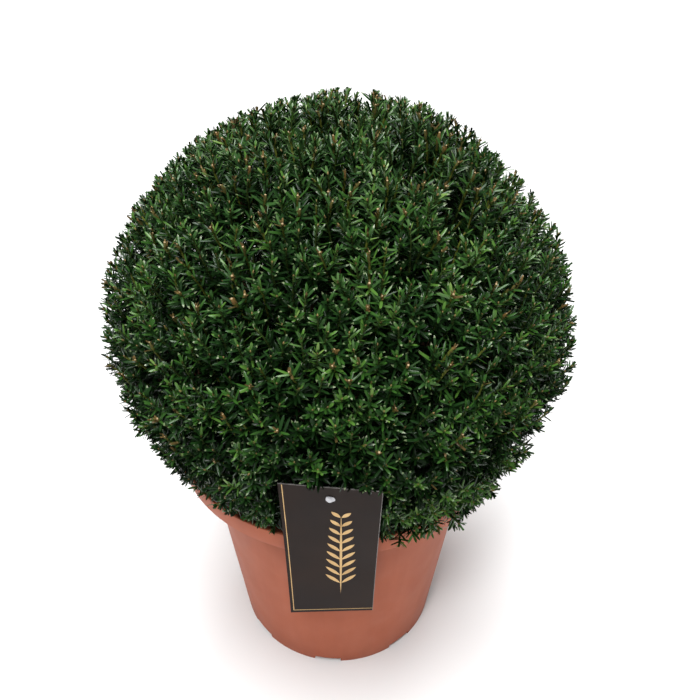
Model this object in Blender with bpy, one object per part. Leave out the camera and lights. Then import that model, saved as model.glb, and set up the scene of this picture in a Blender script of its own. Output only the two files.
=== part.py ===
"""An English yew clipped to a ball, in a round plastic nursery pot with a card label.

Metres, +Z up. The origin is the middle of the pot's flat underside, and the label hangs on
the -Y side. Every shoot of the crown grows out from one growth point above the trunk's foot,
so the crown is shared out among its boughs by the angle from the upright and the angle round
the trunk, both measured at that point.
"""

import math
import random

import bmesh
import bpy
from mathutils import Matrix, Vector, noise

SEED = 41
UPRIGHT = Vector((0, 0, 1))

# Clearances between neighbouring pieces
GAP = 0.0003
SOIL_GAP = 0.0005
SEAM = 0.0005  # from a foliage mass to the edge of its own space
SPRAY_MARGIN = 0.0018  # the same for its sprays, which clears the facets of the next mass
ROOT_MARGIN = 0.0054  # the same for the roots of its sprays

# Pot: foot ring, wall, shoulder and upright lip
TURNS = 40
RIM_TOP = 0.276
RIM_RADIUS = 0.165
LIP_HEIGHT = 0.0215
LIP_SLOPE = 0.0021
LIP_THICK = 0.0030
SHOULDER_RADIUS = 0.1379
SHOULDER_DROP = 0.007
FOOT_RADIUS = 0.1148
FOOT_WIDTH = 0.006
WALL = 0.0022
PAD_RADIUS = 0.055
FLOOR_LIFT = 0.008
FLOOR_THICK = 0.0025
FLOOR_RAMP = 0.006
EDGE = 0.0012
NOTCHES = 8
NOTCH_WIDTH = 0.030
NOTCH_HEIGHT = 0.0065
FIRST_NOTCH = math.radians(-96)
DRAIN_RADIUS = 0.006
DRAIN_SIDES = 6

# Potting soil
SOIL_TOP = 0.2535
SOIL_FALL = 0.0045
SOIL_FLAT = 0.034
SOIL_BUMP = 0.0012

# Trunk, from the soil to its fork
TRUNK_TOP = 0.336
TRUNK_SIDES = 12
FLARE_RADIUS = 0.0235
TRUNK_RADIUS = 0.0135
TRUNK_TIP_RADIUS = 0.0095
FLARE_HEIGHT = 0.030
FLARE_LOBES = 3
LOBE_DEPTH = 0.16  # of the trunk's radius at the soil
LOBE_TURN = 0.7
TRUNK_LEAN = (0.0045, 0.0030)
TRUNK_STEPS = 8
TRUNK_CROWDING = 1.25  # draws the trunk's steps closer together at its flare

# Crown: the clipped outline, and the point that its shoots grow away from
GROWTH = Vector((0, 0, 0.300))
CROWN_CENTRE = Vector((0, 0, 0.391))
CROWN_RADIUS = 0.2068
CROWN_HALF_HEIGHT = 0.195
CROWN_FOOT_ANGLE = math.radians(97)
BOUGH_END = 0.36  # of the way from the growth point to the outline
CORE_START = 0.47
CORE_END = 0.83
CORE_FOOT_END = 0.94  # where the crown meets the pot's lip
STEM_END = 0.62
STEM_STRAIGHT = 0.008  # of a mass's stem, in line with the bough that it meets
STEM_TAPER = 0.8
CORE_LUMP = 0.05
LUMP_SIZE = 0.045

# Rings of foliage masses: name, angles from the upright, masses round the trunk, first seam
RINGS = (
    ("top", 0, 30, 1, 0),
    ("upper", 30, 62, 5, 54),
    ("lower", 62, 97, 5, 18),
)
CORE_STEP = 12  # degrees between the vertices of a core, the same in all rings
CORE_ROWS = 4

# Boughs
BOUGH_SIDES = 6
BOUGH_STEPS = 4
BOUGH_ROOTS = {"upper": 0.316, "lower": 0.287}
BOUGH_RADIUS = 0.0052
BOUGH_TIP_RADIUS = 0.0034
BOUGH_RISE = 0.45  # how steeply a bough leaves the trunk, before it turns to its mass
LEADER_RADIUS = 0.0085
LEADER_BEND = Vector((0.003, -0.002, 0))
LIMB_SHARP_ANGLE = 60

# Sprays: a slim three-sided shoot with flat-based needles round it
SPRAYS = 342  # for a whole ball; the part below the pot's rim has none
SHOOT_RADIUS = 0.0021
ROOT_DEPTH = 0.008
NEEDLE_LENGTH = 0.0185
NEEDLE_ANGLE = math.radians(52)
NEEDLE_STEP = 0.0115
SHOOT_BARE = 0.002  # from the core's outside to a shoot's first needles
SHOOT_TAPER = 0.45
NEEDLE_TWIST = math.radians(38)
SHOOT_TILT = 0.16
TIP_SPREAD = 0.022
DROOP_FROM = math.radians(84)
DROOP = 0.45
RIM_MARGIN = 0.0025
SHORTER = (1.0, 0.8, 0.6)  # lengths that a shoot or needle tries, to keep to its space
STRAIGHTER = (1.0, 0.4, 0.0)  # shares of its lean that a shoot tries, for the same reason
PROBES = (0.2, 0.4, 0.6, 0.8, 1.0)  # places along a shoot or needle that are tested

# Card label and its tie
CARD_WIDTH = 0.080
CARD_LENGTH = 0.2105
CARD_THICK = 0.0008
CARD_TOP = Vector((-0.0060, -0.1853, 0.3639))
CARD_LEAN = math.radians(8.9)
CARD_BOW = 0.0032
CARD_TWISTS = (0.0039, -0.0012)  # how far its right edge comes forward, at the top and the foot
CARD_COLUMNS = 2
CARD_ROWS = 5
CARD_MARGIN = 0.0016
CARD_END_MARGIN = 0.03  # of its length
TIE_DROP = 0.016
TIE_HOLE_RADIUS = 0.0020
TIE_RADIUS = 0.0014
TIE_SIDES = 10
TIE_HEAD_RADIUS = 0.0038
TIE_HEAD_ROUND = 0.6  # of the head's radius and thickness, where its edge is rounded
TIE_HEAD_THICK = 0.0014
TIE_HEAD_STEP = 1e-5  # the flat back of the head, down to the pin
TIE_LENGTH = 0.0105
TIED_TWIG_RADIUS = 0.0022
TIED_TWIG_LENGTH = 0.030


# Scene and materials


def clear_scene():
    for old in list(bpy.data.objects):
        bpy.data.objects.remove(old, do_unlink=True)


def material(name, colour, roughness):
    """A plain material; nothing on the plant is metal."""
    made = bpy.data.materials.new(name)
    made.use_nodes = True
    made.diffuse_color = (*colour, 1)
    shader = made.node_tree.nodes["Principled BSDF"]
    shader.inputs["Base Color"].default_value = (*colour, 1)
    shader.inputs["Roughness"].default_value = roughness
    shader.inputs["Metallic"].default_value = 0
    return made


def add_object(name, shape, mat):
    """The bmesh as a named object, closed and facing outwards."""
    bmesh.ops.remove_doubles(shape, verts=shape.verts, dist=1e-7)
    bmesh.ops.recalc_face_normals(shape, faces=shape.faces)
    mesh = bpy.data.meshes.new(name)
    shape.to_mesh(mesh)
    shape.free()
    made = bpy.data.objects.new(name, mesh)
    bpy.context.scene.collection.objects.link(made)
    if mat:
        mesh.materials.append(mat)
    return made


def shade_round(made, angle=35):
    made.data.shade_smooth()
    made.data.set_sharp_from_angle(angle=math.radians(angle))


def apply_boolean(made, operation, others):
    """Joins or cuts with all of the other objects at once, then removes them."""
    group = bpy.data.collections.new(made.name + "_parts")
    for other in others:
        group.objects.link(other)
    modifier = made.modifiers.new(operation.lower(), "BOOLEAN")
    modifier.operation = operation
    modifier.operand_type = "COLLECTION"
    modifier.collection = group
    modifier.solver = "EXACT"
    depsgraph = bpy.context.evaluated_depsgraph_get()
    result = bpy.data.meshes.new_from_object(made.evaluated_get(depsgraph))
    made.modifiers.clear()
    made.data = result
    for other in others:
        bpy.data.objects.remove(other, do_unlink=True)
    bpy.data.collections.remove(group)


def keep_largest_body(made):
    """Drops loose scraps and the walls of sealed hollows, which are bodies of their own."""
    shape = bmesh.new()
    shape.from_mesh(made.data)
    left = set(shape.verts)
    bodies = []
    while left:
        body = {left.pop()}
        front = list(body)
        while front:
            for edge in front.pop().link_edges:
                for vert in edge.verts:
                    if vert in left:
                        left.discard(vert)
                        body.add(vert)
                        front.append(vert)
        bodies.append(body)
    largest = max(bodies, key=len)
    scraps = [vert for body in bodies if body is not largest for vert in body]
    bmesh.ops.delete(shape, geom=scraps, context="VERTS")
    shape.to_mesh(made.data)
    shape.free()


# Basic shapes


def turned(name, profile, mat):
    """A solid of revolution about Z, from a profile of (radius, height) that starts and ends
    on the axis."""
    shape = bmesh.new()
    verts = [shape.verts.new((0, -radius, height)) for radius, height in profile]
    edges = [shape.edges.new(pair) for pair in zip(verts, verts[1:])]
    bmesh.ops.spin(
        shape,
        geom=verts + edges,
        cent=(0, 0, 0),
        axis=(0, 0, 1),
        angle=math.tau,
        steps=TURNS,
        use_merge=True,
    )
    return add_object(name, shape, mat)


def across(direction):
    """Two unit vectors square to a direction and to each other."""
    other = UPRIGHT if abs(direction.z) < 0.9 else Vector((1, 0, 0))
    side = direction.cross(other).normalized()
    return side, side.cross(direction).normalized()


def limb(name, points, radii, sides, mat, ends=(None, None), outline=None):
    """A tapering limb through the points. Its flat ends face along the two directions in ends,
    or along the limb. outline(turn, step) scales its radius, for a trunk that isn't round."""
    shape = bmesh.new()
    ways = []
    for i in range(len(points)):
        before, after = points[max(i - 1, 0)], points[min(i + 1, len(points) - 1)]
        ways.append((after - before).normalized())
    ways[0] = ends[0] or ways[0]
    ways[-1] = ends[1] or ways[-1]
    side = across(ways[0])[0]
    rings = []
    for i, (point, way, radius) in enumerate(zip(points, ways, radii)):
        side = (side - way * side.dot(way)).normalized()
        up = side.cross(way)
        ring = []
        for j in range(sides):
            turn = math.tau * j / sides
            reach = radius * (outline(turn, i) if outline else 1)
            ring.append(shape.verts.new(point + reach * (math.cos(turn) * side + math.sin(turn) * up)))
        rings.append(ring)
    for low, high in zip(rings, rings[1:]):
        for j in range(sides):
            k = (j + 1) % sides
            shape.faces.new((low[j], low[k], high[k], high[j]))
    shape.faces.new(rings[0])
    shape.faces.new(rings[-1])
    return add_object(name, shape, mat)


# Pot and soil


def inner_floor(lift):
    """The top of the pot's floor from its ramp inwards, raised by lift."""
    return [
        (FOOT_RADIUS - FOOT_WIDTH - FLOOR_RAMP, FLOOR_LIFT + FLOOR_THICK + lift),
        (PAD_RADIUS + FLOOR_RAMP, FLOOR_LIFT + FLOOR_THICK + lift),
        (PAD_RADIUS, FLOOR_THICK + lift),
        (0, FLOOR_THICK + lift),
    ]


def wall_radius(height):
    """The outer radius of the tapered wall."""
    return FOOT_RADIUS + (SHOULDER_RADIUS - FOOT_RADIUS) * height / (RIM_TOP - LIP_HEIGHT)


def make_pot(mat):
    lip_foot = RIM_TOP - LIP_HEIGHT
    wall_top = lip_foot - SHOULDER_DROP
    lip_radius = RIM_RADIUS - LIP_SLOPE
    foot_inside = FOOT_RADIUS - FOOT_WIDTH
    profile = [
        (0, 0),
        (PAD_RADIUS, 0),
        (PAD_RADIUS + FLOOR_RAMP, FLOOR_LIFT),
        (foot_inside - FLOOR_RAMP / 2, FLOOR_LIFT),
        (foot_inside, 0),
        (FOOT_RADIUS - EDGE, 0),
        (FOOT_RADIUS, EDGE),
        (wall_radius(wall_top), wall_top),
        (SHOULDER_RADIUS + SHOULDER_DROP, lip_foot - EDGE),
        (lip_radius, lip_foot),
        (RIM_RADIUS, RIM_TOP - EDGE),
        (RIM_RADIUS - EDGE, RIM_TOP),
        (RIM_RADIUS - LIP_THICK, RIM_TOP),
        (lip_radius - LIP_THICK, lip_foot + WALL),
        (SHOULDER_RADIUS + SHOULDER_DROP - EDGE, lip_foot + WALL - EDGE),
        (wall_radius(wall_top) - WALL, wall_top + EDGE),
        (wall_radius(2 * FLOOR_LIFT) - WALL, 2 * FLOOR_LIFT),
        *inner_floor(0),
    ]
    pot = turned("pot", profile, mat)
    cutters = []
    for i in range(NOTCHES):
        turn = FIRST_NOTCH + math.tau * i / NOTCHES
        cutters.append(notch_cutter(turn))
        cutters.append(drain_cutter(turn + math.pi / NOTCHES))
    apply_boolean(pot, "DIFFERENCE", cutters)
    shade_round(pot)


def notch_cutter(turn):
    """A block through the foot ring, under the floor."""
    shape = bmesh.new()
    bmesh.ops.create_cube(shape, size=1)
    place = Matrix.Rotation(turn, 4, "Z") @ Matrix.Translation((FOOT_RADIUS - FOOT_WIDTH / 2, 0, 0))
    size = Matrix.Diagonal((4 * FOOT_WIDTH, NOTCH_WIDTH, 2 * NOTCH_HEIGHT, 1))
    bmesh.ops.transform(shape, matrix=place @ size, verts=shape.verts)
    return add_object("notch", shape, None)


def drain_cutter(turn):
    shape = bmesh.new()
    bmesh.ops.create_cone(
        shape,
        cap_ends=True,
        segments=DRAIN_SIDES,
        radius1=DRAIN_RADIUS,
        radius2=DRAIN_RADIUS,
        depth=4 * FLOOR_LIFT,
    )
    middle = (PAD_RADIUS + FOOT_RADIUS) / 2
    place = Matrix.Rotation(turn, 4, "Z") @ Matrix.Translation((middle, 0, FLOOR_LIFT))
    bmesh.ops.transform(shape, matrix=place, verts=shape.verts)
    return add_object("drain", shape, None)


def make_soil(mat):
    """The root ball's soil, filling the pot to just under its shoulder."""
    wall_top = RIM_TOP - LIP_HEIGHT - SHOULDER_DROP
    edge_radius = wall_radius(wall_top) - WALL - SOIL_GAP
    low_radius = wall_radius(2 * FLOOR_LIFT) - WALL - SOIL_GAP
    profile = [
        *reversed(inner_floor(SOIL_GAP)),
        (low_radius, 2 * FLOOR_LIFT + SOIL_GAP),
        (edge_radius - SOIL_GAP, SOIL_TOP - SOIL_FALL - SOIL_BUMP),
        ((edge_radius + SOIL_FLAT) / 2, SOIL_TOP - SOIL_FALL / 2),
        (SOIL_FLAT, SOIL_TOP),
        (0, SOIL_TOP),
    ]
    soil = turned("soil", profile, mat)
    bumpy = random.Random(SEED)
    for vert in soil.data.vertices:
        if SOIL_FLAT + GAP < vert.co.xy.length and vert.co.z > SOIL_TOP - 2 * SOIL_FALL:
            vert.co.z -= bumpy.random() * SOIL_BUMP
    shade_round(soil)


# Trunk and boughs


def trunk_centre(height):
    """The trunk leans and bends a little on its way up."""
    rise = (height - SOIL_TOP) / (TRUNK_TOP - SOIL_TOP)
    return Vector((TRUNK_LEAN[0] * rise, TRUNK_LEAN[1] * math.sin(math.pi * rise), height))


def trunk_flare(height):
    """How much of the root flare is left at a height: 1 at the soil, then down to 0."""
    return max(0.0, 1 - (height - SOIL_TOP) / FLARE_HEIGHT)


def trunk_radius(height):
    rise = (height - SOIL_TOP) / (TRUNK_TOP - SOIL_TOP)
    plain = TRUNK_RADIUS + (TRUNK_TIP_RADIUS - TRUNK_RADIUS) * rise
    return plain + (FLARE_RADIUS - TRUNK_RADIUS) * trunk_flare(height) ** 2


def trunk_limb(name, spare, mat):
    """The trunk, or with spare a slightly fatter copy of it to cut the boughs' roots with."""
    foot = SOIL_TOP + GAP - spare
    shares = [(i / TRUNK_STEPS) ** TRUNK_CROWDING for i in range(TRUNK_STEPS + 1)]
    heights = [foot + (TRUNK_TOP + spare - foot) * share for share in shares]

    def lobes(turn, step):
        depth = LOBE_DEPTH * trunk_flare(heights[step])
        return 1 + depth * math.cos(FLARE_LOBES * turn + LOBE_TURN)

    centres = [trunk_centre(height) for height in heights]
    radii = [trunk_radius(height) + spare for height in heights]
    return limb(name, centres, radii, TRUNK_SIDES, mat, (UPRIGHT, UPRIGHT), lobes)


def crown_reach(direction):
    """The distance from the growth point to the clipped outline, along a direction."""
    scale = Vector((1 / CROWN_RADIUS, 1 / CROWN_RADIUS, 1 / CROWN_HALF_HEIGHT))
    start = (GROWTH - CROWN_CENTRE) * scale
    step = direction * scale
    a, b, c = step.dot(step), start.dot(step), start.dot(start) - 1
    return (math.sqrt(b * b - a * c) - b) / a


def aim(tilt, turn):
    """The unit direction at an angle from the upright and an angle round the trunk."""
    return Vector((math.sin(tilt) * math.cos(turn), math.sin(tilt) * math.sin(turn), math.cos(tilt)))


def make_bough(mass, mat):
    """One tapering limb from the trunk towards its foliage mass. Returns the way its tip grows."""
    heading = mass["heading"]
    end = GROWTH + heading * crown_reach(heading) * BOUGH_END
    if mass["ring"] == "top":
        start = trunk_centre(TRUNK_TOP) + UPRIGHT * GAP
        root_radius = LEADER_RADIUS
        bend = (start + end) / 2 + LEADER_BEND
    else:
        start = trunk_centre(BOUGH_ROOTS[mass["ring"]])
        root_radius = BOUGH_RADIUS
        outwards = Vector((heading.x, heading.y, BOUGH_RISE * heading.z))
        bend = start + outwards * (end - start).length / 2
    points, radii = [], []
    for i in range(BOUGH_STEPS + 1):
        t = i / BOUGH_STEPS
        points.append((1 - t) ** 2 * start + 2 * t * (1 - t) * bend + t * t * end)
        radii.append(root_radius + (BOUGH_TIP_RADIUS - root_radius) * t)
    growth = (points[-1] - points[-2]).normalized()
    ends = (UPRIGHT if mass["whole"] else None, growth)
    bough = limb("bough_" + mass["name"], points, radii, BOUGH_SIDES, mat, ends)
    if not mass["whole"]:
        apply_boolean(bough, "DIFFERENCE", [trunk_limb("trunk_cutter", GAP, None)])
        keep_largest_body(bough)
    shade_round(bough, LIMB_SHARP_ANGLE)
    return growth


# Foliage


def masses():
    """One entry for each foliage mass: its name, the angles of its space, and its heading."""
    found = []
    for ring, low, high, count, first in RINGS:
        for i in range(count):
            start = math.radians(first) + math.tau * i / count
            end = start + math.tau / count
            middle = (start + end) / 2
            tilt = math.radians((low + high) / 2) if count > 1 else 0.0
            found.append({
                "ring": ring,
                "name": ring if count == 1 else f"{ring}_{i + 1}",
                "tilts": (math.radians(low), math.radians(high)),
                "turns": (start, end),
                "whole": count == 1,
                "heading": aim(tilt, middle),
            })
    return found


def lump(direction):
    """How far the dense inside of the crown swells out or falls back in a direction."""
    return 1 + CORE_LUMP * noise.noise(direction * crown_reach(direction) / LUMP_SIZE)


def foot_share(tilt):
    """0 over most of the crown, rising to 1 at its lower edge, where it meets the pot's lip."""
    return max(0.0, tilt - DROOP_FROM) / (CROWN_FOOT_ANGLE - DROOP_FROM)


def core_reach(tilt, turn):
    """The distance from the growth point to the outside of the crown's dense inside."""
    share = CORE_END + (CORE_FOOT_END - CORE_END) * foot_share(tilt)
    heading = aim(tilt, turn)
    return crown_reach(heading) * share * lump(heading)


def core_point(mass, tilt, turn, outside):
    """A point of a core's inside or outside, kept a seam's width inside the mass's own space."""
    reach = core_reach(tilt, turn) if outside else crown_reach(aim(tilt, turn)) * CORE_START
    low, high = mass["tilts"]
    if low > 0:
        tilt = max(tilt, low + SEAM / reach)
    tilt = min(tilt, high - SEAM / reach)
    if not mass["whole"]:
        inset = SEAM / (reach * math.sin(tilt))
        turn = min(max(turn, mass["turns"][0] + inset), mass["turns"][1] - inset)
    return GROWTH + aim(tilt, turn) * reach


def make_core(mass):
    """The dense inside of a mass: a thick patch of the crown's shell, its rows and columns
    shared with its neighbours' so that the facets lie face to face."""
    shape = bmesh.new()
    low, high = mass["tilts"]
    columns = round(math.degrees(mass["turns"][1] - mass["turns"][0]) / CORE_STEP)
    layers = []
    for outside in (False, True):
        grid = []
        for row in range(1 if mass["whole"] else 0, CORE_ROWS + 1):
            tilt = low + (high - low) * row / CORE_ROWS
            line = []
            for column in range(columns if mass["whole"] else columns + 1):
                turn = mass["turns"][0] + math.radians(CORE_STEP) * column
                line.append(shape.verts.new(core_point(mass, tilt, turn, outside)))
            if mass["whole"]:
                line.append(line[0])
            grid.append(line)
        layers.append(grid)
    inner, outer = layers
    for grid in layers:
        for first, second in zip(grid, grid[1:]):
            for i in range(len(first) - 1):
                shape.faces.new((first[i], first[i + 1], second[i + 1], second[i]))
    for end in (-1,) if mass["whole"] else (0, -1):
        near, far = inner[end], outer[end]
        for i in range(len(near) - 1):
            shape.faces.new((near[i], near[i + 1], far[i + 1], far[i]))
    if mass["whole"]:
        for grid, outside in ((inner, False), (outer, True)):
            pole = shape.verts.new(core_point(mass, 0.0, 0.0, outside))
            for i in range(len(grid[0]) - 1):
                shape.faces.new((grid[0][i], grid[0][i + 1], pole))
    else:
        for end in (0, -1):
            for i in range(len(inner) - 1):
                shape.faces.new((inner[i][end], inner[i + 1][end], outer[i + 1][end], outer[i][end]))
    return add_object("foliage_" + mass["name"], shape, None)


def card_frame():
    """The card's own directions: across, down its length, and out of its front."""
    down = Vector((0, math.sin(CARD_LEAN), -math.cos(CARD_LEAN)))
    side = Vector((1, 0, 0))
    return side, down, down.cross(side).normalized()


def card_rise(u, v):
    """How far the twisted, bowed card stands out of the plane of its frame."""
    top, foot = CARD_TWISTS
    return 2 * u * (top * (1 - v) + foot * v) - CARD_BOW * math.sin(math.pi * v)


def card_point(u, v, out=0.0):
    """A point of the card: u from -0.5 to 0.5 across, v from 0 at the top to 1, out in metres."""
    side, down, front = card_frame()
    flat = CARD_TOP + side * (u * CARD_WIDTH) + down * (v * CARD_LENGTH)
    return flat + front * (out + card_rise(u, v))


def near_card(point):
    """Whether a point of the foliage would touch the card."""
    side, down, front = card_frame()
    apart = point - CARD_TOP
    u, v = apart.dot(side) / CARD_WIDTH, apart.dot(down) / CARD_LENGTH
    if abs(u) > 0.5 + CARD_MARGIN / CARD_WIDTH or not -CARD_END_MARGIN < v < 1 + CARD_END_MARGIN:
        return False
    depth = apart.dot(front) - card_rise(u, min(max(v, 0), 1))
    return depth > -CARD_MARGIN - CARD_THICK


def near_pot(point):
    """Whether a point of the foliage would touch the pot's lip."""
    radius = point.xy.length
    return point.z < RIM_TOP + RIM_MARGIN and radius < RIM_RADIUS + RIM_MARGIN


def in_space(mass, point):
    """Whether a point of a spray keeps to the mass's own space, off the pot and the card."""
    apart = point - GROWTH
    reach = apart.length
    tilt = math.acos(apart.z / reach)
    low, high = mass["tilts"]
    if low > 0 and tilt < low + SPRAY_MARGIN / reach:
        return False
    if mass["ring"] != "lower" and tilt > high - SPRAY_MARGIN / reach:
        return False
    if not mass["whole"]:
        start, end = mass["turns"]
        turn = (math.atan2(apart.y, apart.x) - start) % math.tau
        inset = SPRAY_MARGIN / (reach * math.sin(tilt))
        if not inset < turn < end - start - inset:
            return False
    return not near_pot(point) and not near_card(point)


def way_is_clear(mass, start, end):
    """Whether a needle or a shoot's end keeps to its space all along."""
    return all(in_space(mass, start.lerp(end, share)) for share in PROBES)


def spray_roots():
    """Evenly spread points of the clipped outline, by turning a golden angle at each step."""
    golden = math.pi * (3 - math.sqrt(5))
    for i in range(SPRAYS):
        height = 1 - 2 * (i + 0.5) / SPRAYS
        around = math.sqrt(1 - height * height)
        turn = golden * i
        yield CROWN_CENTRE + Vector((
            CROWN_RADIUS * around * math.cos(turn),
            CROWN_RADIUS * around * math.sin(turn),
            CROWN_HALF_HEIGHT * height,
        ))


def spray_levels(root, axis, length, roll):
    """The corners of a slim three-sided shoot: its root, then one level for each turn of needles."""
    side, up = across(axis)
    bare = ROOT_DEPTH + SHOOT_BARE
    turns = max(1, round((length - bare) / NEEDLE_STEP) - 1)
    heights = [0.0] + [bare + NEEDLE_STEP * i for i in range(turns + 1)]
    levels = []
    for i, height in enumerate(heights):
        radius = SHOOT_RADIUS * (1 - SHOOT_TAPER * height / length)
        angles = [roll + NEEDLE_TWIST * i + math.tau * j / 3 for j in range(3)]
        middle = root + axis * height
        levels.append([middle + radius * (math.cos(a) * side + math.sin(a) * up) for a in angles])
    return levels


def make_spray(mass, root, tip, roll):
    """A shoot from root to tip with needles all round it, or nothing where it can't stand."""
    axis = (tip - root).normalized()
    places = spray_levels(root, axis, (tip - root).length, roll)
    if not way_is_clear(mass, places[1][0], tip):
        return None
    if not all(in_space(mass, place) for level in places[1:] for place in level):
        return None
    shape = bmesh.new()
    levels = [[shape.verts.new(place) for place in level] for level in places]
    for low, high in zip(levels, levels[1:]):
        for j in range(3):
            k = (j + 1) % 3
            corners = (low[j], low[k], high[k], high[j])
            middle = sum((corner.co for corner in corners), Vector()) / 4
            out = ((middle - root) - axis * (middle - root).dot(axis)).normalized()
            way = axis * math.cos(NEEDLE_ANGLE) + out * math.sin(NEEDLE_ANGLE)
            ends = [middle + way * NEEDLE_LENGTH * share for share in SHORTER]
            ends = [end for end in ends if low is not levels[0] and way_is_clear(mass, middle, end)]
            if ends:
                needle = shape.verts.new(ends[0])
                for n in range(4):
                    shape.faces.new((corners[n], corners[(n + 1) % 4], needle))
            else:
                shape.faces.new((low[j], low[k], high[k]))
                shape.faces.new((low[j], high[k], high[j]))
    point = shape.verts.new(tip)
    for j in range(3):
        shape.faces.new((levels[-1][j], levels[-1][(j + 1) % 3], point))
    shape.faces.new(levels[0])
    return add_object("spray", shape, None)


def first_spray_that_fits(mass, root, ways, length, roll):
    """The longest and then the most leaning spray that keeps to its space, or nothing."""
    for share in SHORTER:
        for way in ways:
            spray = make_spray(mass, root, root + way * length * share, roll)
            if spray:
                return spray
    return None


def sprays_of(mass, chance):
    """The sprays that stand out of one mass, each rooted well inside its core."""
    low, high = mass["tilts"]
    made = []
    for place in spray_roots():
        apart = (place - GROWTH).normalized()
        tilt, turn = math.acos(apart.z), math.atan2(apart.y, apart.x)
        roll, tip_draw, sway, swing = (chance.random() for _ in range(4))
        if not low <= tilt < high:
            continue
        if not mass["whole"]:
            start, end = mass["turns"]
            if not 0 <= (turn - start) % math.tau < end - start:
                continue
            inset = ROOT_MARGIN / (crown_reach(apart) * math.sin(tilt))
            turn = start + min(max((turn - start) % math.tau, inset), end - start - inset)
            inset = ROOT_MARGIN / crown_reach(apart)
            tilt = min(max(tilt, low + inset), high - inset)
        heading = aim(tilt, turn)
        root_reach = core_reach(tilt, turn) - ROOT_DEPTH
        length = crown_reach(heading) * (1 - TIP_SPREAD * tip_draw) - root_reach
        side, up = across(heading)
        lean = SHOOT_TILT * ((sway - 0.5) * side + (swing - 0.5) * up)
        droop = -UPRIGHT * DROOP * foot_share(tilt)
        ways = [(heading + lean * share + droop).normalized() for share in STRAIGHTER]
        root = GROWTH + heading * root_reach
        spray = first_spray_that_fits(mass, root, ways, length, math.tau * roll)
        if spray:
            made.append(spray)
    return made


def tie_place():
    """Where the tie goes through the card, and the direction back into the crown."""
    v = TIE_DROP / CARD_LENGTH
    across_card = card_point(0.5, v) - card_point(-0.5, v)
    return card_point(0, v), across_card.cross(card_frame()[1]).normalized()


def make_mass(mass, growth, mat, chance):
    """One foliage mass: stem, core and sprays fused to one body."""
    heading = mass["heading"]
    reach = crown_reach(heading)
    start = GROWTH + heading * reach * BOUGH_END + growth * GAP
    points = [start, start + growth * STEM_STRAIGHT, GROWTH + heading * reach * STEM_END]
    radii = [BOUGH_TIP_RADIUS, BOUGH_TIP_RADIUS, BOUGH_TIP_RADIUS * STEM_TAPER]
    core = make_core(mass)
    others = [limb("stem", points, radii, BOUGH_SIDES, None, (growth, None))]
    others += sprays_of(mass, chance)
    hole, back = tie_place()
    tied = hole + back * (TIE_LENGTH + GAP)
    if in_space(mass, tied):
        ends = [tied, tied + back * TIED_TWIG_LENGTH]
        others.append(limb("twig", ends, [TIED_TWIG_RADIUS] * 2, BOUGH_SIDES, None))
    apply_boolean(core, "UNION", others)
    keep_largest_body(core)
    core.data.materials.clear()
    core.data.materials.append(mat)


# Label


def make_card(mat):
    """A long card that leans on the pot, a little bowed and twisted, its top among the sprays."""
    shape = bmesh.new()
    faces = []
    for out in (CARD_THICK / 2, -CARD_THICK / 2):
        faces.append([
            [
                shape.verts.new(card_point(i / CARD_COLUMNS - 0.5, j / CARD_ROWS, out))
                for i in range(CARD_COLUMNS + 1)
            ]
            for j in range(CARD_ROWS + 1)
        ])
    front, back = faces
    for grid in faces:
        for first, second in zip(grid, grid[1:]):
            for i in range(CARD_COLUMNS):
                shape.faces.new((first[i], first[i + 1], second[i + 1], second[i]))
    for row in (0, -1):
        for i in range(CARD_COLUMNS):
            shape.faces.new((front[row][i], front[row][i + 1], back[row][i + 1], back[row][i]))
    for column in (0, -1):
        for j in range(CARD_ROWS):
            shape.faces.new((
                front[j][column],
                front[j + 1][column],
                back[j + 1][column],
                back[j][column],
            ))
    card = add_object("label_card", shape, mat)
    hole, inwards = tie_place()
    ends = [hole - inwards * TIE_LENGTH, hole + inwards * TIE_LENGTH]
    cutter = limb("hole", ends, [TIE_HOLE_RADIUS] * 2, TIE_SIDES, None)
    apply_boolean(card, "DIFFERENCE", [cutter])


def make_tie(mat):
    """A plastic pin with a flat head, through the card into the crown."""
    hole, back = tie_place()
    face = hole - back * (CARD_THICK / 2 + GAP)
    points = [
        face - back * TIE_HEAD_THICK,
        face - back * TIE_HEAD_THICK * TIE_HEAD_ROUND,
        face,
        face + back * TIE_HEAD_STEP,
        hole + back * TIE_LENGTH,
    ]
    radii = [TIE_HEAD_RADIUS * TIE_HEAD_ROUND, TIE_HEAD_RADIUS, TIE_HEAD_RADIUS, TIE_RADIUS, TIE_RADIUS]
    tie = limb("label_tie", points, radii, TIE_SIDES, mat)
    shade_round(tie)


def main():
    clear_scene()
    plastic = material("pot_plastic", (0.42, 0.115, 0.062), 0.48)
    earth = material("soil", (0.035, 0.022, 0.014), 0.95)
    bark = material("bark", (0.12, 0.055, 0.032), 0.85)
    needles = material("needles", (0.022, 0.085, 0.018), 0.42)
    board = material("label_card", (0.024, 0.022, 0.024), 0.38)
    tie_plastic = material("tie_plastic", (0.72, 0.72, 0.74), 0.45)
    make_pot(plastic)
    make_soil(earth)
    shade_round(trunk_limb("trunk", 0.0, bark), LIMB_SHARP_ANGLE)
    for mass in masses():
        growth = make_bough(mass, bark)
        make_mass(mass, growth, needles, random.Random(SEED))
    make_card(board)
    make_tie(tie_plastic)


main()
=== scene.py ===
"""The looks of the clipped yew ball in its nursery pot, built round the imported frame.

Metres, +Z up. The shoots follow the frame's own rule: each grows from the mass that its place in
the crown belongs to, with the angles measured at one growth point above the trunk's foot. Pairs
marked "top, foot" hold a value for the crown's top and one for its foot.
"""

from math import cos, pi, radians, sin, sqrt, tau

import bmesh
import bpy
import numpy as np
from mathutils import Matrix, Vector, noise
from numpy.linalg import norm


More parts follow.
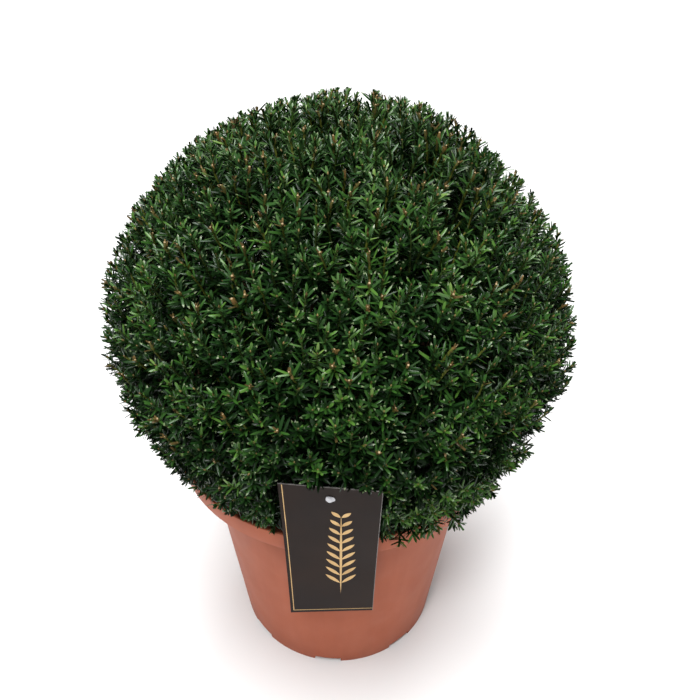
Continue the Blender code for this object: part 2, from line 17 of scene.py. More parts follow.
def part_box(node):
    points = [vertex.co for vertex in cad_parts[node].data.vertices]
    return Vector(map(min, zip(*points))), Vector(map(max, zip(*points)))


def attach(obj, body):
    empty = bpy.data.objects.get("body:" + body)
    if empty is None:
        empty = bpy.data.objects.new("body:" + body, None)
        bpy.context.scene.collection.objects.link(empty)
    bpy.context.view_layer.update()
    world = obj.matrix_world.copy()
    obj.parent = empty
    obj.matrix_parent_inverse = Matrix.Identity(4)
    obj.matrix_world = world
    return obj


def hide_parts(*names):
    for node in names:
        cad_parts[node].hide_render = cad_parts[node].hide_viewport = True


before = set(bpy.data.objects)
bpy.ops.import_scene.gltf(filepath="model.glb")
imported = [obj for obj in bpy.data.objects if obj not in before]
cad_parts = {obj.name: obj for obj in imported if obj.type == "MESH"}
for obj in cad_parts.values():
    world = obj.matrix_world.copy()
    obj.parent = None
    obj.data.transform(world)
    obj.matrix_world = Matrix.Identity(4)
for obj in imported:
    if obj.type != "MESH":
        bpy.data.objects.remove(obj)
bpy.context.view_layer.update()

SEED = 41
UP = np.array([0.0, 0.0, 1.0])
RIGHT = np.array([1.0, 0.0, 0.0])
GAP = 0.0003
GOLDEN_TURN = pi * (3 - sqrt(5))
SHARP = 40  # degrees at which an edge is drawn sharp
NEVER_SHARP = 180
GREY = (0.8, 0.8, 0.8)  # under a pattern of colours
STEEP = 0.9  # height of a unit length from which RIGHT replaces UP

# Pot, with the frame's sizes
POT_TURNS = 128
RIM_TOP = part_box("pot")[1].z
RIM_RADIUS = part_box("pot")[1].y
LIP_HEIGHT = 0.0215
LIP_SLOPE = 0.0021
LIP_THICK = 0.0030
SHOULDER_RADIUS = 0.1379
SHOULDER_DROP = 0.007
FOOT_RADIUS = 0.1148
FOOT_WIDTH = 0.006
WALL = 0.0022
PAD_RADIUS = 0.055
FLOOR_LIFT = 0.008
FLOOR_THICK = 0.0025
FLOOR_RAMP = 0.006
CORNER = 0.0011
CORNER_STEPS = 3
CORNER_SHARE = 0.45  # of a profile's edge that a corner's arc may take
WALL_RINGS = (0.012, 0.030, 0.080, 0.140, 0.200)  # heights that keep the wall's faces even
NOTCHES = 8
NOTCH_WIDTH = 0.030
NOTCH_HEIGHT = 0.0065
FIRST_NOTCH = radians(-96)
DRAIN_RADIUS = 0.006
DRAIN_SIDES = 24

# Soil
SOIL_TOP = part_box("soil")[1].z
SOIL_FALL = 0.0045
SOIL_SINK = 0.001
SOIL_RINGS = 36
SOIL_TURNS = 120
SOIL_WAVES = ((90, 1.0), (260, 0.6))  # lumps to a metre, and their share
SOIL_LUMPS = 0.0016
CRUMBS = 340
CRUMB_FROM = 0.030
CRUMB_FREE = 0.034  # metres of the soil's radius that carry no crumbs
CRUMB_SINK = 0.0012
CRUMB_RADIUS = (0.0008, 0.0016)  # the least, and what chance adds
CRUMB_WAVES = (900, 300)
CRUMB_DENTS = 0.5

# Trunk and boughs
TRUNK_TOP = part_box("trunk")[1].z
TRUNK_SIDES = 56
TRUNK_RINGS = 90
TRUNK_CROWD = 1.2  # power that draws its rings towards its foot
FLARE_RADIUS = 0.0235
TRUNK_RADIUS = 0.0135
TRUNK_TIP_RADIUS = 0.0095
FLARE_HEIGHT = 0.030
FLARE_LOBES = 3
LOBE_DEPTH = 0.16
LOBE_TURN = 0.7
TRUNK_LEAN = (0.0045, 0.0030)
BOUGH_SIDES = 14
BOUGH_RINGS = 36
BOUGH_ROOTS = {"upper": 0.316, "lower": 0.287}
BOUGH_RADIUS = 0.0052
BOUGH_TIP_RADIUS = 0.0034
STEM_TIP_RADIUS = 0.0024
BOUGH_RISE = 0.45
LEADER_RADIUS = 0.0085
LEADER_BEND = (0.003, -0.002, 0)
BARK_DEPTHS = (0.0011, 0.0005)  # on the trunk and on the boughs
FLUTES = (95, 95, 26)  # to a metre, along x, y and z
FLAKES = (260, 260, 95)
FINE_FLAKES = (2.3, 0.5)  # times as fine, and their share of the height
BARK_SHARES = (0.7, 0.9)  # of flutes and of flakes

# Crown
GROWTH = np.array([0.0, 0.0, 0.300])
CROWN_CENTRE = np.array([0.0, 0.0, 0.391])
CROWN_SIZE = np.array([0.2068, 0.2068, 0.195])
CROWN_FOOT_ANGLE = radians(97)
BOUGH_END = 0.36
STEM_END = 0.62
RINGS = (
    ("top", 0, 30, 1, 0),
    ("upper", 30, 62, 5, 54),
    ("lower", 62, 97, 5, 18),
)

# Twigs: one to each of the frame's sprays, with its shoots growing on from it
TWIGS = 342
TWIG_SIDES = 6
TWIG_STEPS = 8
TWIG_RADII = (0.0023, 0.0013)
TWIG_SET_BACK = 0.060  # from a twig's end to the clipped outline, along its growth
TWIG_FREE = 0.15  # of a mass's stem, at its foot, that carries no twigs
TWIG_SPLAY = 0.8
TWIG_BEND = 0.45
TWIG_CLEARANCES = (0.008, 0.006)  # above the rim, of its end and of its bend

# Shoots
SHOOT_TRIES = 26000
SHOOT_SPACINGS = (0.0090, 0.0123)  # top, foot
SPACING_SWING = 0.24
SHOOT_SIDES = 5
SHOOT_STEPS = 7
SHOOT_RADII = (0.00110, 0.00070)
SHOOT_KNOBS = 0.12
SHOOT_SPAN = 0.55  # of a twig, from its end, that shoots grow from
SHOOT_SPAN_LEAST = 0.35
SHOOT_BEND = 0.5
SHOOT_CURVE = 1.04  # times as long as the straight way
SHOOT_PROBES = np.linspace(0.3, 1, 8)  # places along it that are tested
SHOOT_CLEARANCE = 0.012  # of its bend above the rim
HANG_CLEARANCES = (0.006, 0.017)  # above the rim: tips that hang over it, and their bends
HANG_BACK = 0.004
HANG_OUT = 0.008
LIFT = 0.95  # how much more upright than straight out a shoot grows
LIFT_FROM = radians(70)
LIFT_FOOT = -0.05
TIP_SWAY = 0.20
TIP_FALL = (0.0015, 0.0045)  # metres below the clipped outline: the least, and what chance adds
TIP_FALL_POWER = 1.5
STUB_FALLS = (0.5, 0.4)  # of both, on clipped shoots
CLUMP_FALL = (0.001, 0.011)  # top, foot
CLUMP_SIZE = 0.060
CLUMP_EDGE = 0.95  # the share of all shoots that stand nearer to a twig
HOLLOW_FALL = 0.024
HOLLOW_SIZE = 0.034
HOLLOW_LEVEL = 0.17
HOLLOW_RUN = 0.3
FRESH_SHARE = 0.010

# A shoot's stem
WOOD, OLIVE, GREEN, BROWN, RUST, CUT, BUD, FRESH = range(8)
FRESH_STEMS = 0.10
STUB_SHARES = (0.33, 0.06)  # top, foot
STUB_FADE = 0.8  # power of lowness between them
STUB_RADIUS = 0.00098
STUB_SWELL = (1.0, 1.45)
STUB_TAPER = (0.6, 1.0)
STUB_LENGTH = (0.0032, 0.0135)
STUB_SWING = (1.1, 0.5)  # of the longest stub: top, foot
STUB_KINK = 0.0005
STUB_CAP = 0.0007
STUB_MIDDLE = (0.45, 0.55)  # shares of its foot's and its end's place that its middle ring takes
STUB_SLOTS = ((-1, 0.35, RUST, BROWN), (-2, 0.5, BROWN, OLIVE))  # level, share, slots
BUD_RADIUS = 0.00085
BUD_LENGTH = 0.0022
BUD_STEM = 0.005
BUD_FOOT = 0.08  # of a shoot's length, below that
STEM_LIMITS = ((0.04, 0.92), (0.03, 0.97))  # of its last rings: the least gap, the highest place
SCALES = 5  # small bud scales on each clipped end
PALE_SCALES = 0.5
SCALE_LENGTH = 0.0036
SCALE_SPREAD = (0.7, 1.3)
SCALE_SPAN = 0.9  # of the stub
SCALE_WIDTH = 0.75
SCALE_ANGLE = radians(33)

# Tufts that stand out of the outline in the photo, and a gap in it: degrees of tilt, of turn and
# of spread, and metres out
LUMPS = (
    (61, -163, 9, 0.006),
    (77, -147, 8, 0.005),
    (62, -18, 7, 0.005),
    (67, -23, 8, 0.004),
    (74, -31, 8, 0.010),
    (81, -38, 8, 0.004),
    (92, -55, 10, 0.009),
    (73, -29, 3.4, -0.042),
    (48, -174, 7, 0.005),
    (48, -6, 7, 0.006),
    (12, 73, 7, 0.003),
    (20, 29, 7, 0.004),
)

# The side where the crown hangs over the pot's rim
SKIRT_TURN = radians(-47)
SKIRT_WIDTH = radians(42)
SKIRT_EDGE = 1.6
SKIRT_FOOT_ANGLE = radians(103)
SKIRT_FROM = radians(89)
SKIRT_REACH = 0.13
SKIRT_FALL = 0.7  # how far the shoots there turn down past the rim
SKIRT_SPACING = 0.72
SKIRT_LOW = (0.85, 0.8)  # how low a shoot is that takes its spacing, and its tone
SKIRT_TONE = 0.80
RIM_CLEARANCE = 0.0015
INNER_DROP = 0.010  # how far needles may hang below the rim inside the pot

# Needles
NEEDLE_STEP = 0.00150
NEEDLE_SCATTER = 0.6  # of a step
ROSETTES = (6, 10)  # needles that crowd towards a shoot's tip, and never fewer on it than the first
NEEDLE_LENGTH = 0.0134
NEEDLE_SPREAD = (0.76, 1.14)
NEEDLE_TIP_SHARES = (0.47, 0.64)  # top, foot
NEEDLE_LEAST = 0.3  # of its length that clipping leaves
NEEDLE_HALF_WIDTH = 0.00102
NEEDLE_WIDTHS = (0.85, 1.15)
NEEDLE_SIZES = (0.98, 1.02)  # top, foot
NEEDLE_REACH = 0.048  # of a shoot, from its tip, that carries needles
NEEDLE_FREE = 0.004  # of a shoot, at its root, that carries none
NEEDLE_LOWEST = 0.02  # place on a shoot that the lowest crowd at
STUB_FREE = 0.8  # of a stub that carries none
NEEDLE_RIB = 0.30
NEEDLE_TIP_RIB = 0.2  # of the rib, at its tip
NEEDLE_FOOT = 0.13  # of its length that is stalk
NEEDLE_SHOULDERS = (0.95, 0.80)  # where a cut and a whole needle's tip begins
NEEDLE_TAPER = 0.84
NEEDLE_TURN_SWING = 0.25
NEEDLE_SWINGS = (0.13, 0.09, 0.35)  # of its angle, its way and its roll
NEEDLE_BOW = (0.07, -0.05)
NEEDLE_PROUD = 0.0012  # metres past the outline where needles are clipped
CUT_FROM = 0.0008  # metres past that, for a needle to show its cut
CLIMB_LEAST = 0.3  # how far outwards a clipped needle is held to point
PROBES = np.array([0.1, 0.4, 0.7, 1])  # places along a needle that are tested
TIP_ANGLE = radians(24)
OPEN_OVER = 0.009  # metres from the tip at which the needles stand out fully
OPEN_POWER = 0.65
RIPE_OVER = 0.020  # metres from the tip at which they have their full length
FULL_ANGLES = (radians(46), radians(70))  # top, foot
TWIG_NEEDLE_STEP = 0.00125
TWIG_NEEDLE_LENGTH = 0.0225
TWIG_NEEDLE_SPREAD = (0.8, 1.15)
TWIG_NEEDLE_ANGLE = radians(65)

# The needles' colours
# pale tips, partly the needles' own paler ends and partly a painted highlight: the share of green
# needles that take them
PALE_AND_HIGHLIGHT_TIPS = 0.24
GLINT_TIPS = 0.05
BROWN_TIPS = 0.6
BROWN_NEEDLES = 0.12
BROWN_ABOVE = 0.75  # lowness above which no cut needle browns
SHADE_BY_DEPTH = (1.1, 3.6)  # top, foot: painted shade, how much darker needles are drawn the further down a shoot they sit
# painted light and shade: needles drawn lighter towards the crown's top and darker towards its
# foot, turning at the lowness SHADE_MIDDLE
SHADE_BY_HEIGHT = 1.1
SHADE_MIDDLE = 0.45
# painted shade: shoots that head towards the crown's left and right sides, along x, are drawn
# darker
SHADE_BY_SIDE = 0.55
# painted shade: how much darker needles are drawn in the crown's hollows
HOLLOW_SHADE = 0.8
TIP_TONES = (0.60, 0.95)  # top, foot
TONE_SWING = 0.90
TONE_SIZE = 0.045
TONE_SCATTER = (0.30, 0.55)  # from shoot to shoot, and from needle to needle
TONE_STEPS = (-0.35, 0.45, 1.15, 2.15)
PALE_AND_HIGHLIGHT_SLOT, CUT_SLOT, SCALE_SLOT, GLINT_SLOT, SHEEN_SLOT = range(5, 10)
SHEEN_SHARES = (0.95, -0.55)  # top, foot: of the three middle greens, a greyer green in their place, a painted sheen of the sky that is strongest at the crown's top
NEEDLE_ROUGHNESS = 0.29
NEEDLES = (  # red, green, blue, specular
    # the darkest green, mostly painted shade: needles that the painted shade darkens most, and the
    # twig needles inside the crown
    (0.0045, 0.0160, 0.0032, 0.15),
    (0.0110, 0.0370, 0.0080, 0.18),
    (0.0270, 0.0830, 0.0130, 0.26),
    (0.0650, 0.1540, 0.0240, 0.34),
    (0.1500, 0.2520, 0.0600, 0.34),
    # pale tips: partly the needles' own paler green, partly a painted highlight
    (0.1550, 0.2100, 0.1000, 0.34),
    (0.0800, 0.0570, 0.0200, 0.10),
    (0.1450, 0.0960, 0.0340, 0.15),
    # glint tips: a painted highlight in near-white green
    (0.2300, 0.2800, 0.1600, 0.50),
    # greyer greens in place of the three middle ones: a painted sheen of the sky
    (0.0120, 0.0370, 0.0085, 0.20),
    (0.0300, 0.0820, 0.0190, 0.30),
    (0.0720, 0.1500, 0.0430, 0.34),
)
STEM_SPECULAR = 0.2
STEMS = (  # red, green, blue, roughness
    ("twig_wood", 0.060, 0.029, 0.016, 0.8),
    ("shoot_olive", 0.100, 0.105, 0.018, 0.6),
    ("shoot_green", 0.038, 0.062, 0.012, 0.5),
    ("shoot_brown", 0.095, 0.083, 0.021, 0.6),
    ("shoot_rust", 0.150, 0.090, 0.025, 0.6),
    ("clipped_end", 0.440, 0.320, 0.180, 0.7),
    ("shoot_bud", 0.215, 0.143, 0.055, 0.6),
    ("shoot_fresh", 0.118, 0.135, 0.020, 0.5),
)

# Card and tie
CARD_WIDTH = 0.080
CARD_LENGTH = 0.2105
CARD_THICK = 0.0008
CARD_STEPS = (17, 49)
CARD_TOP = np.array([-0.0060, -0.1853, 0.3639])
CARD_LEAN = radians(8.9)
CARD_DOWN = np.array([0, sin(CARD_LEAN), -cos(CARD_LEAN)])
CARD_FRONT = np.cross(CARD_DOWN, RIGHT)
CARD_BOW = 0.0032
CARD_TWISTS = (0.0039, -0.0012)  # how far its right edge comes forward, at the top and the foot
CARD_MARGIN = 0.0016
CARD_SPAN = (-0.01, 1.02)  # down the card, where nothing may touch it
CARD_FOOT = 1.1  # down the card, to where nothing may hide it
CARD_FRINGE = 0.034  # of its length that sprays may hide at its top
FRINGE_SWING = (0.55, 0.9)
FRINGE_WAVES = (3.1, 17)
# width of the strip along the card's top and right side drawn in the cut edge's colour as a painted
# highlight
CARD_HIGHLIGHT_STRIP = 0.0005
FOIL_THICK = 0.00008
FOIL_STEPS = 6
RULE_INSET = 0.0028
RULE_TOP = 0.001
RULE_FOOT = 0.0042
RULE_WIDTH = 0.0007
RULE_END = 0.497
RULE_GAP = 1e-4
SPRIG_PLACE = (0.0085, 0.040, 0.176)  # across from the middle, and its top and foot down the card
SPRIG_STALK = 0.0022
SPRIG_BARE = (0.020, 0.004)  # at its foot and at its top
SPRIG_PAIRS = 9
SPRIG_LEAF = 0.0205
SPRIG_SHRINK = 0.45
SPRIG_POWER = 1.5
LEAF_POWER = 0.8
SPRIG_WIDTH = 0.0042
SPRIG_ASIDE = 0.0006
SPRIG_ANGLE = radians(40)
TIE_DROP = 0.016
TIE_RADIUS = 0.0014
TIE_SIDES = 20
TIE_HEAD_RADIUS = 0.0038
TIE_HEAD_THICK = 0.0014
TIE_HEAD = ((1, 0.55), (0.8, 0.85), (0.4, 1.0), (0, 0.96))  # shares of its thickness and radius
TIE_RAGGED = ((3, 0.6, 0.10), (5, -pi / 2, 0.05))  # lobes, their turn and their depth
TIE_LENGTH = 0.0105
TIE_TAPER = 0.8

# Camera: straight down the label's side, pitched as in the photograph
CAMERA = (0.0, -0.552, 0.747)
PITCH = radians(39.8)
VIEW_WAY = np.array([0.0, cos(PITCH), -sin(PITCH)])
LENS = 36.0
SENSOR = 36.0
SHIFT = (0.0171, 0.0829)
CLIP_START = 0.01

# Light
WHITE = (1, 1, 1, 1)
FLOOR_HALF = 4
WORLD_LIGHT = 0.20
LIT_POINT = (0, 0, 0.35)
LAMPS = (  # place, size or angle, and power
    ("key", (-0.35, -1.2, 2.1), "AREA", 0.5, 23),
    ("fill", (1.2, -1.2, 1.0), "AREA", 1.2, 0.8),
    ("back", (0.6, 1.7, 1.5), "AREA", 1.2, 9),
    ("top", (-0.10, -0.12, 2.3), "SUN", radians(36), 3.9),
)

chance = np.random.default_rng(SEED)


# Materials


def plain(name, colour, roughness, specular):
    made = bpy.data.materials.new(name)
    made.use_nodes = True
    made.diffuse_color = (*colour, 1)
    shader = made.node_tree.nodes["Principled BSDF"]
    shader.inputs["Base Color"].default_value = (*colour, 1)
    shader.inputs["Roughness"].default_value = roughness
    shader.inputs["Specular IOR Level"].default_value = specular
    return made


def add_node(tree, kind, output, inputs):
    """A new node's output. Each input is a number, a colour or another node's output."""
    node = tree.nodes.new("ShaderNode" + kind)
    for name, value in inputs.items():
        if isinstance(value, bpy.types.NodeSocket):
            tree.links.new(value, node.inputs[name])
        else:
            node.inputs[name].default_value = value
    return node.outputs[output]


def textured(
    name, roughness, specular, *layers, share=1.0, shine=None, grain=None, metallic=0.0
):
    """A material in colours that follow a pattern. A layer is a pattern and its colour stops,
    each with its place, red, green and blue, and a second layer darkens the first by share.
    shine is a pattern and two ends of roughness, grain a pattern, a strength and a height."""
    made = plain(name, GREY, roughness, specular)
    tree = made.node_tree
    shader = tree.nodes["Principled BSDF"]
    shader.inputs["Metallic"].default_value = metallic
    place = add_node(tree, "TexCoord", "Object", {})

    def pattern(scale, detail=None, stretch=(1, 1, 1), roughness=0.5):
        """Noise, or cells where it has no detail."""
        values = {"Scale": scale}
        values["Vector"] = add_node(tree, "Mapping", "Vector", {"Scale": stretch, "Vector": place})
        if detail is None:
            return add_node(tree, "TexVoronoi", "Distance", values)
        values |= {"Detail": detail, "Roughness": roughness}
        return add_node(tree, "TexNoise", "Fac", values)

    def ramp(value, stops):
        node = tree.nodes.new("ShaderNodeValToRGB")
        points = node.color_ramp.elements
        while len(points) < len(stops):
            points.new(0.5)
        for point, (position, *colour) in zip(points, stops):
            point.position = position
            point.color = (*colour, 1)
        tree.links.new(value, node.inputs["Fac"])
        return node.outputs["Color"]

    colours = [ramp(pattern(*layer), stops) for layer, stops in layers]
    if len(colours) > 1:
        node = tree.nodes.new("ShaderNodeMix")
        node.data_type = "RGBA"
        node.blend_type = "MULTIPLY"
        node.inputs["Factor"].default_value = share
        for colour, socket in zip(colours, "AB"):
            tree.links.new(colour, node.inputs[socket])
        colours = [node.outputs["Result"]]
    tree.links.new(colours[0], shader.inputs["Base Color"])
    if shine:
        values = {"Value": pattern(*shine[0]), "To Min": shine[1], "To Max": shine[2]}
        tree.links.new(add_node(tree, "MapRange", "Result", values), shader.inputs["Roughness"])
    if grain:
        values = {"Height": pattern(*grain[0]), "Strength": grain[1], "Distance": grain[2]}
        tree.links.new(add_node(tree, "Bump", "Normal", values), shader.inputs["Normal"])
    return made


def pot_material():
    """Terracotta-coloured moulded plastic: soft mottling, faint flow streaks up the wall."""
    mottling = (0.30, 0.384, 0.105, 0.053), (0.55, 0.404, 0.115, 0.060), (0.80, 0.431, 0.133, 0.074)
    streaks = (0.35, 0.93, 0.92, 0.91), (0.65, 1, 1, 1)
    return textured(
        "pot_plastic", 0.5, 0.12, ((22, 5), mottling), ((9, 4, (9, 9, 0.7)), streaks), share=0.8,
        shine=((35, 4), 0.42, 0.60), grain=((700, 2), 0.12, 0.0004),
    )


def bark_material():
    """Thin flaking bark: red-brown plates over a paler, orange underbark."""
    plates = (0.05, 0.050, 0.020, 0.013), (0.35, 0.115, 0.050, 0.030), (0.75, 0.215, 0.105, 0.062)
    weather = (0.35, 0.62, 0.58, 0.55), (0.65, 1, 1, 1)
    return textured(
        "bark", 0.85, 0.25, ((120, None, (1, 1, 0.35)), plates), ((55, 5, (1, 1, 0.4)), weather),
        share=0.9, grain=((160, None, (1, 1, 0.4)), 0.7, 0.0008),
    )


def soil_material():
    crumbs = (0.30, 0.010, 0.006, 0.004), (0.55, 0.032, 0.019, 0.012), (0.75, 0.085, 0.052, 0.032)
    layer = (260, 6, (1, 1, 1), 0.65), crumbs
    return textured("soil", 0.95, 0.2, layer, grain=((420, 5), 0.6, 0.0012))


def clouded(name, roughness, specular, pattern, dark, light, **more):
    """A material between two colours."""
    return textured(name, roughness, specular, (pattern, ((0.3, *dark), (0.7, *light))), **more)


# Meshes


def mesh_of(name, shape):
    mesh = bpy.data.meshes.new(name)
    shape.to_mesh(mesh)
    shape.free()
    return mesh


def add_object(name, mesh, mats=()):
    for mat in mats:
        mesh.materials.append(mat)
    made = bpy.data.objects.new(name, mesh)
    bpy.context.scene.collection.objects.link(made)
    return made


def add_bmesh(name, shape, mats, sharp=SHARP):
    bmesh.ops.recalc_face_normals(shape, faces=shape.faces)
    mesh = mesh_of(name, shape)
    mesh.shade_smooth()
    mesh.set_sharp_from_angle(angle=radians(sharp))
    return add_object(name, mesh, mats)


def add_arrays(name, parts, mats):
    """One joined mesh from a list of (vertices, [(faces, slots), ...]): faces is an array of quads
    or of triangles, and slots gives each face's material, or one for all."""
    verts, corners, totals, slots = [], [], [], []
    base = 0
    for points, groups in parts:
        verts.append(points.reshape(-1, 3))
        for faces, slot in groups:
            sides = faces.shape[-1]
            corners.append((faces + base).ravel())
            totals.append(np.full(corners[-1].size // sides, sides))
            slots.append(np.full(len(totals[-1]), slot) if np.ndim(slot) == 0 else slot.ravel())
        base += len(verts[-1])
    verts, corners, totals, slots = map(np.concatenate, (verts, corners, totals, slots))
    starts = np.concatenate([[0], np.cumsum(totals)[:-1]])
    mesh = bpy.data.meshes.new(name)
    mesh.vertices.add(len(verts))
    mesh.vertices.foreach_set("co", verts.astype(np.float32).ravel())
    mesh.loops.add(len(corners))
    mesh.loops.foreach_set("vertex_index", corners.astype(np.int32))
    mesh.polygons.add(len(totals))
    mesh.polygons.foreach_set("loop_start", starts.astype(np.int32))
    mesh.polygons.foreach_set("material_index", slots.astype(np.int32))
    mesh.polygons.foreach_set("use_smooth", np.ones(len(totals), bool))
    mesh.update(calc_edges=True)
    mesh.validate()
    return add_object(name, mesh, mats)


def between(ends, t):
    """From the first end where t is 0 to the second where it is 1."""
    return ends[0] + (ends[1] - ends[0]) * t


def unit(vectors):
    return vectors / np.maximum(norm(vectors, axis=-1, keepdims=True), 1e-12)


def bezier(start, bend, end, t):
    """Points at t along many curves: start, bend and end are (n, 3) and t is (n, m)."""
    t = t[..., None]
    return (1 - t) ** 2 * start[:, None] + 2 * t * (1 - t) * bend[:, None] + t * t * end[:, None]


def curve(points, t):
    """Points at t along one curve from a start, a bend and an end."""
    return bezier(*(point[None] for point in points), t[None])[0]


def axes_round(ways, first):
    """Two axes square to each way, and to UP or RIGHT as the first ways ask."""
    side = unit(np.cross(ways, np.where(np.abs(first[..., 2:]) < STEEP, UP, RIGHT)))
    return side, np.cross(side, ways)


def tubes(centres, radii, sides):
    """Vertices and quads of many tapering tubes: centres is (n, m, 3) and radii (n, m)."""
    ways = unit(np.gradient(centres, axis=1))
    side, across = axes_round(ways, ways[:, :1])
    angles = tau * np.arange(sides) / sides
    ring = (
        np.cos(angles)[:, None] * side[:, :, None]
        + np.sin(angles)[:, None] * across[:, :, None]
    )
    points = centres[:, :, None] + radii[:, :, None, None] * ring
    index = np.arange(points[..., 0].size).reshape(points.shape[:3])
    low, high = index[:, :-1], index[:, 1:]
    quads = np.stack([low, np.roll(low, -1, 2), np.roll(high, -1, 2), high], -1)
    return points, quads, index


# Pot and soil


def rounded(corners):
    """A profile with each inner corner turned into a small arc."""
    corners = np.array(corners)
    points = [corners[0]]
    for before, corner, after in zip(corners, corners[1:], corners[2:]):
        back, on = before - corner, after - corner
        cut = min(CORNER, CORNER_SHARE * norm(back), CORNER_SHARE * norm(on))
        arc = corner + unit(back) * cut, corner, corner + unit(on) * cut
        points.extend(curve(arc, np.linspace(0, 1, CORNER_STEPS + 1)))
    return [*points, corners[-1]]


def turned(profile, turns):
    shape = bmesh.new()
    verts = [shape.verts.new((0, -radius, height)) for radius, height in profile]
    edges = [shape.edges.new(pair) for pair in zip(verts, verts[1:])]
    bmesh.ops.spin(
        shape, geom=verts + edges, cent=(0, 0, 0), axis=(0, 0, 1), angle=tau, steps=turns,
        use_merge=True,
    )
    bmesh.ops.remove_doubles(shape, verts=shape.verts, dist=1e-7)
    return shape


def wall_radius(height):
    return FOOT_RADIUS + (SHOULDER_RADIUS - FOOT_RADIUS) * height / (RIM_TOP - LIP_HEIGHT)


def add_hole(shape, sides, turn, radius, height, size):
    """A block, or with more sides than four a round bar, at a turn round the pot."""
    place = Matrix.Rotation(turn, 4, "Z") @ Matrix.Translation((radius, 0, height))
    place = place @ Matrix.Diagonal((*size, 1))
    if sides == 4:
        bmesh.ops.create_cube(shape, size=1, matrix=place)
    else:
        bmesh.ops.create_cone(
            shape, cap_ends=True, segments=sides, radius1=0.5, radius2=0.5, depth=1, matrix=place
        )


def cut_away(made, holes):
    cutter = add_object("cutter", mesh_of("cutter", holes))
    modifier = made.modifiers.new("cut", "BOOLEAN")
    modifier.operation = "DIFFERENCE"
    modifier.object = cutter
    modifier.solver = "EXACT"
    depsgraph = bpy.context.evaluated_depsgraph_get()
    result = bpy.data.meshes.new_from_object(made.evaluated_get(depsgraph))
    made.modifiers.clear()
    made.data = result
    bpy.data.objects.remove(cutter, do_unlink=True)


def make_pot():
    lip_foot = RIM_TOP - LIP_HEIGHT
    wall_top = lip_foot - SHOULDER_DROP
    lip_radius = RIM_RADIUS - LIP_SLOPE
    foot_inside = FOOT_RADIUS - FOOT_WIDTH
    profile = rounded([
        (0, 0),
        (PAD_RADIUS, 0),
        (PAD_RADIUS + FLOOR_RAMP, FLOOR_LIFT),
        (foot_inside - FLOOR_RAMP / 2, FLOOR_LIFT),
        (foot_inside, 0),
        (FOOT_RADIUS, 0),
        *((wall_radius(height), height) for height in WALL_RINGS),
        (wall_radius(wall_top), wall_top),
        (SHOULDER_RADIUS + SHOULDER_DROP, lip_foot - CORNER),
        (lip_radius, lip_foot),
        (RIM_RADIUS, RIM_TOP),
        (RIM_RADIUS - LIP_THICK, RIM_TOP),
        (lip_radius - LIP_THICK, lip_foot + WALL),
        (SHOULDER_RADIUS + SHOULDER_DROP - CORNER, lip_foot + WALL - CORNER),
        (wall_radius(wall_top) - WALL, wall_top + CORNER),
        (wall_radius(2 * FLOOR_LIFT) - WALL, 2 * FLOOR_LIFT),
        (foot_inside - FLOOR_RAMP, FLOOR_LIFT + FLOOR_THICK),
        (PAD_RADIUS + FLOOR_RAMP, FLOOR_LIFT + FLOOR_THICK),
        (PAD_RADIUS, FLOOR_THICK),
        (0, FLOOR_THICK),
    ])
    pot = add_bmesh("pot_shell", turned(profile, POT_TURNS), [pot_material()])
    notch = (4 * FOOT_WIDTH, NOTCH_WIDTH, 2 * NOTCH_HEIGHT)
    drain = (2 * DRAIN_RADIUS, 2 * DRAIN_RADIUS, 4 * FLOOR_LIFT)
    holes = bmesh.new()
    for i in range(NOTCHES):
        turn = FIRST_NOTCH + tau * i / NOTCHES
        add_hole(holes, 4, turn, FOOT_RADIUS - FOOT_WIDTH / 2, 0, notch)
        turn += pi / NOTCHES
        add_hole(holes, DRAIN_SIDES, turn, (PAD_RADIUS + FOOT_RADIUS) / 2, FLOOR_LIFT, drain)
    cut_away(pot, holes)
    pot.data.set_sharp_from_angle(angle=radians(SHARP))
    place_piece(pot, "pot_plastic", "pot")


def make_soil():
    """Crumbly compost: a bumpy top over a plain body that fills the pot, with loose crumbs."""
    low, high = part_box("soil")
    edge = wall_radius(RIM_TOP - LIP_HEIGHT - SHOULDER_DROP) - WALL - 2 * GAP
    foot = wall_radius(2 * FLOOR_LIFT) - WALL - 2 * GAP
    profile = [
        (0, low.z),
        (PAD_RADIUS, low.z),
        (PAD_RADIUS + FLOOR_RAMP, FLOOR_LIFT + FLOOR_THICK + 2 * GAP),
        (FOOT_RADIUS - FOOT_WIDTH - FLOOR_RAMP, FLOOR_LIFT + FLOOR_THICK + 2 * GAP),
        (foot, 2 * FLOOR_LIFT),
    ]
    for i in range(SOIL_RINGS + 1):
        share = 1 - i / SOIL_RINGS
        profile.append((edge * share, high.z - SOIL_FALL * share - SOIL_SINK))
    shape = turned(profile, SOIL_TURNS)
    for vert in shape.verts:
        if vert.co.z > high.z - 2 * SOIL_FALL and vert.co.xy.length < edge - GAP:
            lumps = sum(share * noise.noise(vert.co * waves) for waves, share in SOIL_WAVES)
            vert.co.z += SOIL_LUMPS * (lumps - SOIL_WAVES[1][1])
            vert.co.z = min(vert.co.z, high.z - GAP)
    for _ in range(CRUMBS):
        reach, turn, size = chance.random(3)
        radius = CRUMB_FROM + (edge - CRUMB_FREE) * sqrt(reach)
        spot = (radius * cos(tau * turn), radius * sin(tau * turn))
        height = high.z - SOIL_FALL * radius / edge - CRUMB_SINK
        crumb_radius = CRUMB_RADIUS[0] + CRUMB_RADIUS[1] * size
        made = bmesh.ops.create_icosphere(shape, subdivisions=1, radius=crumb_radius)
        for vert in made["verts"]:
            dent = noise.noise(vert.co * CRUMB_WAVES[0] + Vector((*spot, 0)) * CRUMB_WAVES[1])
            vert.co *= 1 + CRUMB_DENTS * dent
            vert.co += Vector((*spot, height))
    soil = add_bmesh("soil_compost", shape, [soil_material()], NEVER_SHARP)
    place_piece(soil, "soil", "soil")


# Trunk and boughs


